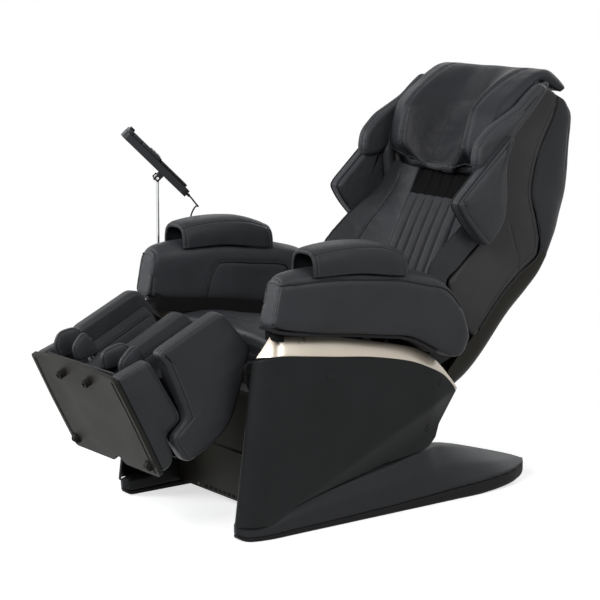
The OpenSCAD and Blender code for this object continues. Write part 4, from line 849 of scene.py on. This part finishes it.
for _, label, turn in both_sides:
    arm = skin("arm_pad_" + label, arm_rings * turn)
    stitched(arm, [np.array(line) * turn for line in (arm_edge, arm_front, arm_inner_pad)], 2.6, 7.0)
    dress(arm, "armrest_" + label, dark_leather, ["arm_" + label])
    tree = surface_tree(arm)
    for number, line in enumerate((arm_edge, arm_inner_pad)):
        piping = laid(tree, np.array(line) * turn, 5.0, 1.2)
        welt(f"arm_welt_{number}_{label}", piping, 2.6, "armrest_" + label)


# ---- Arm linings -------------------------------------------------------------
# A strip of thin black cloth hangs from each arm's inner lower edge and closes the slit between the
# arm and the seat, so that nothing falls into the frame.

lining_line = [[338, -290, 552, 600], [332, -308, 556, 606], [300, -310, 556, 606], [274, -304, 552, 604],
               [269, -270, 546, 590], [269, -180, 536, 578], [269, -60, 516, 563], [269, 50, 492, 546],
               [269, 140, 470, 530], [269, 212, 447, 498], [269, 272, 424, 462]]


def lining_grid(s, t, depth):
    """Points of the lining between its lower and upper edge. It starts across the front of the arm, turns
    back along it, and has a slow wave of slack along its lower edge."""
    q = along(lining_line, s)
    return np.stack([q[..., 0] + depth + 0.8 * np.sin(s * 60) * (1 - t), q[..., 1] + depth * (s < 0.3),
                     q[..., 2] + (q[..., 3] - q[..., 2]) * t], -1)


lining_cloth = moulded("lining cloth", colour(22, 22, 23), 0.9, 2400, 0.0002, shine=0.1)
linings = side_pair("arm_lining", lining_grid, 90, 10, 2.0, 0.004, 0.05)
for piece, (_, label, _) in zip(linings, both_sides):
    dress(piece, "armrest_" + label, lining_cloth)


# ---- Arm cuffs ---------------------------------------------------------------
# A padded arch of leather over each forearm holds the air bags that squeeze it. Seams run round both
# of its rims and along both of its sides.

cuff_line = [[0.27, 24, 4, 3.5], [0.29, 20, 0, 3.5], [0.35, 13, 0, 3.5], [0.42, 8, 0, 3.5], [0.48, 5, 1, 3.5],
             [0.53, 13, 2, 3.5], [0.56, 22, 5, 5]]


def arch(t, power_c, power_s, tall):
    """Cosine and sine of half a turn, each raised to its power and spaced evenly along the arch."""
    a = np.linspace(0, math.pi, 4001)
    c, s = np.sign(np.cos(a)) * np.abs(np.cos(a)) ** power_c, np.abs(np.sin(a)) ** power_s
    length = np.concatenate([[0], np.cumsum(np.hypot(np.diff(c), np.diff(s) * tall))])
    want = np.asarray(t) * length[-1]
    return np.interp(want, length, c), np.interp(want, length, s)


def cuff_grid(s, t, depth):
    """Points of the cuff at s along the arm and t over it, with its wall moved in by the depth."""
    c = along(cuff_line, s)
    q = along(arm_line, c[..., 0])
    across, up = arch(t, 0.56, 0.62, 1.6)
    swell = 2.5 * np.sin(math.pi * np.clip(s, 0, 1)) * np.sin(math.pi * np.clip(t, 0, 1)) * (depth < 6)
    wide = (q[..., 5] - q[..., 4]) / 2 + 6 - c[..., 2] - depth + 0.4 * swell
    foot = q[..., 3] + c[..., 3]
    top = q[..., 3] + q[..., 6] + 74 - c[..., 1]
    return np.stack([(q[..., 4] + q[..., 5]) / 2 + wide * across, q[..., 2],
                     foot + (top - foot - depth + swell) * up], -1)


cuff_seams = [cuff_grid(np.full(40, s), np.linspace(0.02, 0.98, 40), np.zeros(40)) for s in (0.08, 0.9)]
cuff_seams += [cuff_grid(np.linspace(0.05, 0.95, 20), np.full(20, t), np.zeros(20)) for t in (0.31, 0.69)]
cuffs = side_pair("cuff_pad", cuff_grid, 60, 110, 12.0, 0.05, 0.016)
for piece, (_, label, turn) in zip(cuffs, both_sides):
    stitched(piece, [line * turn for line in cuff_seams], 2.0, 5.0)
    dress(piece, "armrest_" + label, cuff_leather, ["cuff_" + label])


# ---- Backrest panels and rear cover ------------------------------------------
# Padded leather side panels and a wrapped leather cover behind them close the backrest. They meet in
# a welted seam that follows the edge of the back. A moulded plastic shell closes it at the bottom, and
# two black gussets fill its corners beside the neck.

back_hinge = np.array([330.0, 400.0])
lean_cos, lean_sin = math.cos(math.radians(26)), math.sin(math.radians(26))


def on_back(p):
    """Points of the backrest's own frame, hinge at the origin and z up the back, set in the chair's."""
    p = np.asarray(p, float)
    return np.stack([p[..., 0], back_hinge[0] + p[..., 1] * lean_cos + p[..., 2] * lean_sin,
                     back_hinge[1] - p[..., 1] * lean_sin + p[..., 2] * lean_cos], -1)


def plush(name, outline, x0, x1, radius, rim, bulge, hub, n, rings, turn=1, place=on_back):
    """A padded panel: the outline with a rounded rim between x0 and x1, and an outer face at x1 that swells
    towards the hub."""
    o = rounded_loop(outline, radius, n)
    area = np.sum(o[:, 0] * np.roll(o[:, 1], -1) - np.roll(o[:, 0], -1) * o[:, 1])
    e = unit(np.roll(o, -2, 0) - np.roll(o, 2, 0)) * np.sign(area)
    inward = np.stack([-e[:, 1], e[:, 0]], 1)
    k = np.linspace(0, math.pi / 2, 9)
    hub = np.asarray(hub, float)
    s = 1 - np.linspace(0, 1, rings)[:-1] ** 1.15
    fill = [(x1 + bulge * (1 - v ** 2.2), rim, v) for v in s]
    bend = [(x1 - rim + rim * math.sin(v), rim * (1 - math.cos(v)), 1.0) for v in k]
    bend_in = [(x0 + rim - rim * math.sin(v), rim * (1 - math.cos(v)), 1.0) for v in k]
    flat = [(x0, rim, v) for v in np.linspace(1, 0.05, 8)]
    rows = np.array(flat[::-1] + bend_in[::-1][1:] + bend + fill[1:])
    ring = o[None] + inward[None] * rows[:, 1, None, None]
    ring = hub + (ring - hub) * rows[:, 2, None, None]
    x = np.broadcast_to(rows[:, 0, None, None], ring.shape[:2] + (1,))
    return skin(name, place(np.concatenate([x, ring], -1)) * turn)


seam_line = [[110, 122], [148, 258], [190, 353], [240, 446], [181, 536], [124, 600], [98, 716], [104, 852],
             [84, 905]]
side_front = [[18, 908], [-6, 800], [-40, 712], [-38, 645], [40, 520], [44, 470], [-6, 362], [-62, 240],
              [0, 150]]
back_out, back_wall = half_seat - 2, 24.0
back_in = back_out - back_wall
panel_outline = np.vstack([along(seam_line, np.linspace(0, 1, 15)), side_front])
panel_seam = [(back_out, y, z) for y, z in ((89, 478), (122, 442), (159, 407), (189, 366))]
panel_rim = [(back_out, y, z) for y, z in ((116, 200), (168, 353), (216, 446), (160, 530), (106, 600),
                                           (80, 716), (86, 852))]
for _, label, turn in both_sides:
    panel = plush("back_panel_" + label, panel_outline, back_in, back_out, 14, 11, 0.6, (60, 560), 420, 60,
                  turn)
    stitched(panel, [on_back(line) * turn for line in (panel_seam, panel_rim)], 1.6, 5.0)
    dress(panel, "backrest", side_leather, ["back_side_" + label])

cover_stations = [[243, 451, 54, 0], [219, 500, 88, 0], [183, 540, 134, 0], [128, 600, 190, 0],
                  [113, 657, 200, 2], [101, 716, 194, 4], [101, 790, 158, 6], [107, 852, 124, 8],
                  [100, 880, 116, 9.5], [93, 896, 98, 10.5], [88, 905, 76, 11]]
shell_stations = [[70, -30, 64, -22, 26], [90, 44, 90, -34, 22], [114, 122, 94, -34, 16],
                  [152, 258, 92, -36, 12], [194, 352, 86, -34, 8], [222, 402, 76, -16, 4],
                  [243, 442, 55, 0, 2], [247, 456, 52, 0, 5]]


def wrap(half, start, reach, t, depth):
    """An arch round the back: from one side, over the rear by the reach, to the other side."""
    across, out = arch(t, 0.42, 0.42, 0.5)
    k = 1 - depth / np.linalg.norm(reach, axis=-1)
    return np.stack([(half - depth) * across, start[..., 0] + reach[..., 0] * k * out,
                     start[..., 1] + reach[..., 1] * k * out], -1)


def rear_cover_grid(s, t, depth):
    """Points of the leather rear cover at s up it and t round it."""
    q = along(cover_stations, s)
    rearwards = np.stack([q[..., 2], 0 * q[..., 2]], -1)
    return on_back(wrap(back_out - 2 - q[..., 3], q[..., 0:2], rearwards, t, depth))


def rear_shell_grid(s, t, depth):
    """Points of the moulded lower shell at s up it and t round it."""
    q = along(shell_stations, s)
    return on_back(wrap(back_out - q[..., 4], q[..., 0:2] + (-0.4, 0.4), q[..., 2:4], t, depth))


rear_cover = slab("rear_cover", rear_cover_grid, 110, 230, 8.0, 0.008, 0.006)
ridge = [(240, y, z) for y, z in ((157, 899), (204, 802), (242, 684), (271, 556))]
ridge_far = [(-x, y, z) for x, y, z in ridge]
across_top = [(x, 275, 770) for x in (-235, -120, 0, 120, 235)]
stitched(rear_cover, [on_back(line) for line in (ridge, ridge_far, across_top)], 2.0, 6.0)
rear_leather = leather("rear leather", colour(45, 46, 49))
dress(rear_cover, "backrest", rear_leather, ["back_cover"])
olive_shell = slab("rear_shell", rear_shell_grid, 80, 160, 4.0, 0.004, 0.003)
dress(olive_shell, "backrest", olive_plastic, ["back_shell"])
gusset_outline = [[-18, 790], [-6, 850], [6, 904], [62, 902], [66, 790]]
for _, label, turn in both_sides:
    gusset = plush("neck_gusset_" + label, gusset_outline, back_in - 26, back_in + 4, 12, 9, 0.5, (26, 850),
                   160, 16, turn)
    dress(gusset, "backrest", black_leather)
seam_row = along(seam_line, np.linspace(0.03, 0.97, 130))
for side in (1, -1):
    edge = np.concatenate([np.full((130, 1), side * (back_out + 0.4)), seam_row + (-1.0, 0)], 1)
    welt(f"back_welt_{side + 1}", on_back(edge), 2.8)


# ---- Shoulder wings ----------------------------------------------------------
# Kite-shaped pads beside the shoulders, with air bags in them. Each is upholstered in leather and
# bound in front by a double welt.

wing_outline = [[-12, 366], [16, 440], [14, 490], [-20, 560], [-52, 620], [-64, 706], [-78, 706], [-90, 674],
                [-180, 452], [-172, 436], [-124, 408]]
wing_in = back_out + 0.9
wing_out = wing_in + 56
wing_band = [(wing_out, y, z) for y, z in ((-70, 690), (-166, 478), (-160, 458), (-120, 428), (-12, 388))]
wing_welts = [[(wing_in + x, y, z) for y, z in ((-76, 702), (-88, 674), (-178, 452), (-170, 437), (-122, 409),
                                                (-14, 369))] for x in (12, 44)]
wing_leather = leather("wing leather", colour(58, 59, 62), slack=1.1, pucker=0.7)
for _, label, turn in both_sides:
    wing = plush("wing_pad_" + label, wing_outline, wing_in, wing_out, 34, 18, 6, (-70, 520), 320, 40, turn)
    stitched(wing, [on_back(line) * turn for line in (wing_band, *wing_welts)], 2.2, 6.0, puff=0.6)
    dress(wing, "backrest", wing_leather, ["wing_" + label])
    tree = surface_tree(wing)
    for number, line in enumerate(wing_welts):
        welt(f"wing_welt_{number}_{label}", laid(tree, on_back(line) * turn, 5.0, 1.0), 2.6)


# ---- Shoulder rolls ----------------------------------------------------------
# A crescent pad of leather stands beside the pillow and runs down to the top of each wing, with two
# seams along its front. A narrow stuffed roll joins it to the edge of the side panel.

crescent = [[-148, 582], [-163, 640], [-138, 706], [-98, 758], [-62, 806], [-40, 858], [-14, 904], [22, 896],
            [-6, 800], [-40, 712], [-38, 650], [-66, 600], [-118, 566]]
edge_line = [[262, 26, 914], [262, 8, 884], [262, -12, 830], [262, -42, 760], [262, -54, 700],
             [262, -46, 632], [262, -14, 576], [262, 16, 524], [260, 22, 462], [256, 6, 420]]
crescent_seams = [[(x, y + 8, z - 3) for y, z in crescent[:7]] for x in (262, 282)]
edge_share = np.linspace(0, 1, 120)
edge_places = along(edge_line, edge_share)
edge_radius = 22 * np.sin(math.pi * (0.02 + 0.96 * edge_share)) ** 0.4
for _, label, turn in both_sides:
    pad = plush("shoulder_pad_" + label, crescent, 246, 292, 22, 20, 5, (-88, 702), 300, 36, turn)
    stitched(pad, [on_back(line) * turn for line in crescent_seams], 2.6, 6.0, puff=0.8)
    dress(pad, "backrest", wing_leather)
    edge_rings = rod_loops(on_back(edge_places) * turn, edge_radius, 40, (1.0, 0.0, 0.0))
    edge = skin("edge_roll_" + label, edge_rings)
    stitched(edge, [on_back(edge_places[5:-5:9] + (17, 8, 0)) * turn], 1.8, 5.0)
    dress(edge, "backrest", wing_leather)


# ---- Bolsters, lumbar pad and neck cloth -------------------------------------
# Foam bolsters slope forward beside a pad with six sewn pleats. Above it a black stretch cloth is
# gathered behind the pillow, where the kneading rollers press through.

bolster_line = [[96, 36, 18], [140, 62, 0], [187, 108, -36], [237, 148, -72], [287, 140, -48],
                [347, 114, -22], [412, 80, 9], [467, 42, 18], [517, 16, 18], [562, 10, 6], [596, 8, -15]]
pad_half, pad_face = 122.0, -12.0
rows, columns = 120, 170
q = along(bolster_line, np.linspace(0, 1, rows))
x0, x1 = pad_half + 0.4, back_out
xs = back_in - 0.4
back = np.minimum(q[:, 2], 18)
front = [(np.full(rows, x0 + (x1 - x0) * t), pad_face - 4 * math.sin(math.pi * t) - q[:, 1] * t ** 1.7)
         for t in np.linspace(0, 1, 13)]
rear = [(np.full(rows, x1), back), (np.full(rows, xs), back), (np.full(rows, xs), np.full(rows, 18.5)),
        (np.full(rows, x0), np.full(rows, 18.0))]
section = rounded_loop(np.stack([np.stack(c, -1) for c in front + rear], 1), 9.0, columns)
heights = np.broadcast_to(q[:, None, 0:1], (rows, columns, 1))
bolster_rings = closed_in(on_back(np.concatenate([section, heights], -1)), 5)
bolster_edge = np.stack([np.full(9, back_out - 3), pad_face - q[8:112:12, 1] + 2, q[8:112:12, 0]], -1)
bolster_seam = [(190, -70, 150), (190, -90, 240), (190, -80, 340), (190, -50, 460), (190, -40, 560)]
for _, label, turn in both_sides:
    bolster = skin("bolster_pad_" + label, bolster_rings * turn)
    stitched(bolster, [on_back(line) * turn for line in (bolster_edge, bolster_seam)], 2.0, 6.0)
    dress(bolster, "backrest", slack_leather, ["bolster_" + label])
    welt("bolster_welt_" + label, laid(surface_tree(bolster), on_back(bolster_edge) * turn, 5.0, 1.0), 2.4)

pleats, per_pleat, rows, behind = 6, 24, 90, 40
t = np.linspace(0, 1, rows)
full = np.maximum(0, np.sin(math.pi * (0.03 + 0.94 * t))) ** 0.35
i = np.arange(pleats * per_pleat + 1)
swell = 17 * full[:, None] * np.abs(np.sin(math.pi * i / per_pleat)) ** 0.75
up_pad = np.broadcast_to((92 + 411 * t)[:, None], swell.shape)
face = np.stack([np.broadcast_to(-pad_half + 2 * pad_half * i / (pleats * per_pleat), swell.shape),
                 pad_face - swell, up_pad], -1)
rear = np.stack([np.broadcast_to(np.linspace(pad_half, -pad_half, behind), (rows, behind)),
                 np.full((rows, behind), pad_face + 26), up_pad[:, :behind]], -1)
pleated = skin("pleated_pad", closed_in(on_back(np.concatenate([face, rear], 1)), 5))
stitched(pleated, [on_back([(x, pad_face, z) for z in (110, 300, 490)])
                   for x in np.linspace(-pad_half, pad_half, pleats + 1)[1:-1]], 1.0, 3.0)
dress(pleated, "backrest", dark_leather, ["back_pad"])

cloth_wide = back_in - 0.4
cloth_rows = [[506, -6, pad_half], [530, -3, pad_half], [560, 1, pad_half], [598, 6, pad_half],
              *[[z, 8.6, cloth_wide] for z in (604, 650, 700, 760, 800, 830)], [884, 9.4, cloth_wide]]


def cloth_grid(s, t, depth):
    """Points of the cloth: rows up it, with gathers that run down it and fade at its hems."""
    heights, depths, halves = zip(*cloth_rows)
    k = np.interp(np.clip(s, 0, 1) * 10, np.arange(11), heights)
    y, half = np.interp(k, heights, depths), np.interp(k, heights, halves)
    x = half * (2 * t - 1)
    hem = np.sin(math.pi * np.clip(s, 0, 1)) ** 0.5 * np.sin(math.pi * np.clip(t, 0, 1)) ** 0.4
    fold = (np.sin(x / 7.5 + 2.2 * np.sin(k / 31.0))
            + 0.6 * np.sin(x / 3.9 + 1.7 * np.sin(k / 47.0) + 1.0)) * 1.3
    return on_back(np.stack([x, y + depth - 1.2 - fold * hem, k], -1))


black_cloth = moulded("black cloth", colour(12, 12, 12), 0.85, 1800, 0.0003, shine=0.05)
black_cloth.node_tree.nodes["Principled BSDF"].inputs["Sheen Weight"].default_value = 0.05
cloth = slab("neck_stretch_cloth", cloth_grid, 90, 200, 3.0, 0.004, 0.004)
dress(cloth, "backrest", black_cloth, ["neck_cloth"])


# ---- Head pillow -------------------------------------------------------------
# A loose leather pillow, stuffed at both sides and slack in the middle. It hangs by a flap over the
# top of the backrest, and two long seams part its sides from its middle.

pillow_line = np.array([
    [[-14, 588], [-26, 580], [-48, 610], [-42, 616], [26, 0]],
    [[0, 598], [-35, 588], [-84, 626], [-44, 636], [8, 0]],
    [[5, 634], [-33, 620], [-101, 650], [-45, 660], [2, 0]],
    [[5, 700], [-28, 702], [-114, 705], [-46, 710], [0, 0]],
    [[5, 760], [-23, 760], [-119, 758], [-44, 760], [0, 0]],
    [[5, 810], [-20, 810], [-100, 812], [-24, 806], [0, 0]],
    [[5, 860], [-14, 862], [-68, 866], [-8, 856], [0, 0]],
    [[6, 892], [-4, 904], [-38, 906], [4, 892], [0, 0]], [[14, 916], [12, 944], [-2, 942], [14, 915], [0, 0]],
    [[40, 920], [42, 965], [40, 964], [40, 919], [0, 0]],
    [[74, 922], [84, 962], [84, 960], [74, 921], [0, 0]],
    [[112, 924], [121, 951], [121, 949], [112, 923], [0, 0]]],
    float)
pillow_wide = 244.0


def pillow_rings(rows, columns):
    """Rings of the pillow: across its sunk middle and both crests in front, then back along its rear."""
    q = along(pillow_line.reshape(12, 10), np.linspace(0, 1, rows)).reshape(rows, 1, 5, 2)
    u = np.linspace(-1, 1, columns)[None, :, None]
    k = smooth01((np.abs(u) - 0.2) / 0.42)
    thick = np.minimum(1, np.abs(q[:, :, 2, :1] - q[:, :, 1, :1]) / 60)
    fall = np.maximum(0, (np.abs(u) - 0.62) / 0.38) ** 1.3 * np.array([24.0, 4.0]) * thick
    drop = np.maximum(0, (np.abs(u) - 0.9) / 0.1) ** 3 * 0.55
    crest = q[:, :, 1] + (q[:, :, 2] - q[:, :, 1]) * k
    wander = 3.0 * np.sin(np.linspace(0, 7, rows))[:, None, None]
    slack = 2.2 * np.sin(u * 9.0 + wander) * (1 - k) * np.array([1.0, 0])
    front = crest + (q[:, :, 3] - crest) * drop + slack + fall * (1 - drop)
    half = pillow_wide - q[:, :, 4, 0]
    v = np.array([0.97, 0.9, 0.6, 0.3, 0, -0.3, -0.6, -0.9, -0.97])
    outer = (np.abs(v) > 0.95)[None, :, None]
    rear = np.where(outer, q[:, :, 3], q[:, :, 0])
    return np.concatenate([np.concatenate([half[..., None] * u, front], -1),
                           np.concatenate([half[..., None] * v[None, :, None], rear], -1)], 1)


def shade_painted_middle(mat, half, dark):
    """The leather with painted shade between its two long seams: where |x| is under half, the tone is
    scaled by the given share, for the shade in the pillow's sunk middle.
    """
    t = mat.node_tree
    place = node(t, "SeparateXYZ", Vector=node(t, "TexCoord").outputs["Object"])
    wide = maths(t, "ABSOLUTE", place.outputs["X"])
    tone = t.nodes["Principled BSDF"].inputs["Base Color"]
    scaled = node(t, "VectorMath", operation="SCALE", _0=tone.links[0].from_socket)
    t.links.new(mapped(t, wide, half - 0.001, half + 0.001, dark, 1.0), scaled.inputs["Scale"])
    t.links.new(scaled.outputs[0], tone)
    return mat


pillow = skin("pillow", on_back(closed_in(pillow_rings(150, 200), 6)))
pillow_seam = np.array([[149, -60, 596], [150, -112, 702], [154, -98, 812], [162, -36, 908], [166, 12, 945]])
pillow_low = [(x, -36, 588) for x in (-205, -120, 0, 120, 205)]
stitched(pillow, [on_back(line) for line in (pillow_seam, pillow_seam * flip, pillow_low)], 4.5, 8.0,
         puff=1.0)
pillow_leather = leather("pillow leather", colour(42, 43, 47), 0.42, 560, 1.2, 1.1)
# Painted shade: the pillow's middle between the long seams is darker, for the shade in its sunk valley.
dress(pillow, "backrest", shade_painted_middle(pillow_leather, 0.151, 0.62), ["head_pillow"])
pillow_hem = [(-239, -92, 668), (-226, -70, 628), (-190, -66, 604), (-140, -58, 590), (-70, -44, 583),
              (0, -36, 580), (70, -44, 583), (140, -58, 590), (190, -66, 604), (226, -70, 628),
              (239, -92, 668)]
welt("pillow_welt", laid(surface_tree(pillow), on_back(pillow_hem), 5.0, 1.4), 2.7)


# ---- Leg rest ----------------------------------------------------------------
# Two troughs of leather hold the calves between a middle hump and side walls that stand up beside
# them. A seam runs round the outer face of each wall, and another along its top.

knee = np.array([-340.0, 470.0])
leg_cos, leg_sin = math.cos(math.radians(26.5)), math.sin(math.radians(26.5))


def on_leg(p):
    """Points of the leg rest's own frame, knee hinge at the origin and the feet at -y, set in the chair's."""
    p = np.asarray(p, float)
    return np.stack([p[..., 0], knee[0] + p[..., 1] * leg_cos - p[..., 2] * leg_sin,
                     knee[1] + p[..., 1] * leg_sin + p[..., 2] * leg_cos], -1)


def troughs(stations, half, profile, low, columns):
    """Rings of a pair of troughs: each takes its y and scale from a station, and the profile across it."""
    lengthwise, beneath = 90, 60
    rows = along(stations, np.linspace(0, 1, lengthwise))
    u = np.linspace(-1, 1, columns)
    height = np.array(profile(rows[:, 0:1], np.abs(u)[None]))
    top = low + (height - low) * rows[:, 1:2]
    across = half * np.concatenate([u, np.linspace(1, -1, beneath)])
    shape = (lengthwise, len(across))
    return np.stack([np.broadcast_to(across, shape), np.broadcast_to(rows[:, 0:1], shape),
                     np.concatenate([top, np.full((lengthwise, beneath), low - 6.0)], 1)], -1)


def through(knots, u):
    """Smooth heights through knots of (share, height), by monotone steps between neighbours."""
    xs, ys = (np.array([k[c] for k in knots]) for c in (0, 1))
    slope = np.diff(ys) / np.diff(xs)
    pair = slope[:-1] * slope[1:]
    m = np.concatenate([[0], np.where(pair > 0, 2 * pair / (slope[:-1] + slope[1:] + 1e-9), 0), [slope[-1]]])
    i = np.clip(np.searchsorted(xs, u, side="right") - 1, 0, len(xs) - 2)
    w = xs[i + 1] - xs[i]
    f = (u - xs[i]) / w
    return ((1 + 2 * f) * (1 - f) ** 2 * ys[i] + f * (1 - f) ** 2 * w * m[i] + f * f * (3 - 2 * f) * ys[i + 1]
            + f * f * (f - 1) * w * m[i + 1])


calf_half, calf_in = half_seat - 22, half_seat - 74
hump_half = 46
calf_knots = [(0, 150), (0.65 * hump_half / calf_in, 147), (1.1 * hump_half / calf_in, 120), (0.42, 72),
              (0.6, 52), (0.78, 66), (0.92, 112), (1, 140)]
calf_stations = [[8, 0.78], [0, 0.93], [-12, 1], [-60, 1], [-110, 1], [-160, 1], [-205, 1], [-216, 0.94],
                 [-222, 0.8]]
calf_rings = troughs(calf_stations, calf_in - 0.4, lambda y, u: through(calf_knots, u) + 0 * y, -25.7, 190)
calf = skin("calf_troughs", closed_in(on_leg(calf_rings), 6))
stitched(calf, [on_leg([(x, y, 120) for y in (-10, -110, -212)]) for x in (-150, -56, 56, 150)], 2.4, 7.0)
dress(calf, "legrest", shade_darkened_trough_leather, ["calf_pads"])

leg_leather = leather("leg leather", colour(50, 51, 53))
calf_outline = [[-230, 197], [-220, 147], [-228, -17], [-299, -36], [-290, -131], [-166, -129], [-105, -106],
                [42, 42], [1, 193]]
calf_seam = [(calf_half + 2, y, z) for y, z in ((-213, 188), (-204, 147), (-214, -10), (-226, -24),
                                                (-284, -44), (-277, -122))]
calf_seam_top = [(calf_half - 14, y, z) for y, z in ((-224, 150), (-226, 190), (-110, 194), (-2, 190),
                                                     (34, 48))]
for side, _, turn in both_sides:
    wall = plush(f"calf_wall_{side + 1}", calf_outline, calf_in, calf_half, 30, 16, 4, (-130, 0), 340, 44,
                 turn, on_leg)
    stitched(wall, [on_leg(line) * turn for line in (calf_seam, calf_seam_top)], 2.0, 6.0)
    dress(wall, "legrest", leg_leather, ["calf_walls"])


# ---- Foot unit ---------------------------------------------------------------
# The part under the feet slides out on two steel rails. Leather petals fold over each foot, its side
# walls are padded, and a textured plate closes its sole.

foot_half, foot_front, sole_face = calf_half - 15, -359.6, -372.0
foot_in = foot_half - 48
foot_knots = [(0, 176), (0.2, 168), (0.3, 96), (0.42, 12), (0.6, 0), (0.8, 10), (0.93, 96), (1, 150)]


def foot_height(y, u):
    """Height across the foot troughs: they close up to a full-height band towards the sole plate."""
    t = np.clip((-318 - y) / 22, 0, 1)
    return np.maximum(through(foot_knots, u), 202 * smooth01(t) - 26 * smooth01((-334 - y) / 28))


foot_stations = [[-238, 0.5], [-244, 0.86], [-256, 1], [-300, 1], [-318, 1], [-328, 1], [-342, 1],
                 [foot_front, 1]]
sole_rings = troughs(foot_stations, foot_in - 0.4, foot_height, -14.0, 210)
foot = skin("foot_troughs", closed_in(on_leg(sole_rings), 5))
foot_rows = [on_leg([(x, y, z) for x in np.linspace(-170, 170, 9)]) for y, z in ((-336, 186), (-352, 190))]
foot_folds = [on_leg([(x, y, 140) for y in (-245, -280, -330)]) for x in (-150, -60, 60, 150)]
stitched(foot, foot_rows + foot_folds, 2.6, 6.0)
dress(foot, "foot_unit", shade_darkened_trough_leather, ["foot_pads"])
foot_outline = [[-250, 190], [-235, -4], [-251, -20], [-293, -24], [-303, -37], [-303, -85], [-320, -110],
                [foot_front, -114], [foot_front, 203]]
foot_seam = [(foot_half + 2, y, z) for y, z in ((-262, 184), (-250, 90), (-250, -2), (-300, -18))]
foot_band = [(foot_half - 12, y, z) for y, z in ((-252, 188), (-300, 196), (-352, 202))]
for side, _, turn in both_sides:
    wall = plush(f"foot_wall_{side + 1}", foot_outline, foot_in, foot_half, 18, 14, 4, (-305, 60), 320, 40,
                 turn, on_leg)
    stitched(wall, [on_leg(line) * turn for line in (foot_seam, foot_band)], 2.0, 6.0)
    dress(wall, "foot_unit", leg_leather, ["foot_walls"])
petals = [(-149, [[-338, 176], [-331, 218], [-298, 245], [-246, 229], [-235, 205], [-240, 150]]),
          (-81, [[-318, 168], [-312, 213], [-262, 235], [-244, 208], [-244, 150]]),
          (59, [[-318, 165], [-309, 200], [-287, 217], [-230, 206], [-211, 178], [-232, 140]]),
          (130, [[-308, 160], [-297, 194], [-238, 214], [-222, 193], [-219, 150], [-240, 130]])]
for number, (x, outline) in enumerate(petals):
    hub = np.mean(outline, 0)
    petal = plush(f"foot_petal_{number}", outline, x - 8, x + 8, 22, 7, 3, hub, 200, 24, place=on_leg)
    hem = [(x + 8, *(hub + (np.array(c) - hub) * 0.84)) for c in outline[:-1]]
    stitched(petal, [on_leg(hem)], 1.6, 5.0)
    dress(petal, "foot_unit", dark_leather)
sole_plastic = moulded("sole plastic", colour(27, 26, 23), 0.5, 700, 0.0002)
finish_nodes(sole_plastic, "sole_panel")
sole_screw_profile = [[0.2, -2], [4, -2], [4.2, 0.4], [3.2, 1.1], [0.2, 1.2]]
for side in (1, -1):
    rail = on_leg([(side * x, sole_face - 0.4, z) for x, z in ((206, 196), (212, 60), (206, -108))])
    ridge = rod(f"sole_ridge_{side + 1}", along(rail, np.linspace(0, 1, 40)), 1.6, 8)
    dress(ridge, "foot_unit", sole_plastic)
    place = on_leg((side * 208, sole_face, 190))
    screw = skin(f"sole_screw_{side + 1}", facing(lathe(sole_screw_profile, 24), place,
                                                  (0, -leg_cos, -leg_sin)))
    dress(screw, "foot_unit", slot_black)


# ---- Remote, its stand and the works inside ----------------------------------
# The handset of dark plastic tilts on a chromed pole. The frame, drives and rollers inside keep the
# shapes of their machined and moulded parts, and only take their finishes here.

dark_plastic = moulded("dark plastic", colour(50, 51, 54), 0.36, 1400, 0.00006)
black_plastic = moulded("black plastic", colour(26, 26, 27), 0.45)
screen_glass = moulded("screen glass", colour(16, 20, 26), 0.12, 3000, 0.000005, 0.02, shine=0.5)
key_grey = moulded("key grey", colour(140, 144, 149), 0.45)
frame_paint = moulded("frame paint", colour(34, 34, 36), 0.48, 600, 0.00008)
bright_steel = moulded("bright steel", colour(176, 178, 180), 0.3, 2600, 0.00001, 0.03, 1.0)
chrome = moulded("chrome", colour(225, 226, 228), 0.1, 3000, 0.000004, 0.01, 1.0)
roller_ivory = moulded("roller ivory", colour(205, 200, 188), 0.4)
finish_nodes(dark_plastic, "remote_body")


def remote_part(name, box, corner, n, body, material, replaces=()):
    """A rounded bar on the remote: its box is x0, x1, y0, y1, z0, z1 in the remote's own frame."""
    dress(skin(name, at_remote(bar_loops(*box, corner, n))), body, material, replaces)


for number, (x0, x1, z0, z1) in enumerate([(-38, 38, 33, 111), (-38, 38, 145, 166), (-38, -17, 111, 145),
                                           (17, 38, 111, 145)]):
    remote_part(f"remote_case_{number}", (x0, x1, 50, 37.5, z0, z1), 4, 40, "remote",
                dark_plastic)
remote_part("remote_lid_shell", (-33, 33, 47, 36, -78, 30.5), 7, 60, "lid", black_plastic,
            ["remote_lid"])
remote_part("remote_screen", (-30, 30, 50.8, 49, 80, 106), 3, 40, "remote", screen_glass)
for row in range(3):
    for column in range(3):
        x, z = -24 + 24 * column, 40 + 13 * row
        remote_part(f"remote_key_{row}_{column}", (x - 8, x + 8, 53, 49, z, z + 8), 3, 24, "remote",
                    key_grey)
finish_nodes(key_grey, "start_button")
dial_profile = [[0.2, 0], [9, 0], [9, 6], [8, 7.5], [0.2, 8]]
dial = skin("remote_dial", at_remote(facing(lathe(dial_profile, 36), (0, 49.5, 156), (0, 1, 0))))
dress(dial, "remote", black_plastic)
finish_nodes(black_plastic, "clamp_knob", "stand_bracket", "air_pump", "power_unit", "calf_tray")
finish_nodes(chrome, "remote_stand")
finish_nodes(frame_paint, "base_pan", "seat_frame", "back_frame", "legrest_frame", "recline_actuator",
             "legrest_actuator", "carriage", "massage_arm_left", "massage_arm_right", "arm_tray_left",
             "arm_tray_right")
finish_nodes(bright_steel, "lead_screw", "recline_rod", "legrest_rod", "foot_rails")
finish_nodes(rim_rubber, "sole_roller_left", "sole_roller_right")
finish_nodes(roller_ivory, "roller_upper_left", "roller_upper_right", "roller_lower_left",
             "roller_lower_right")
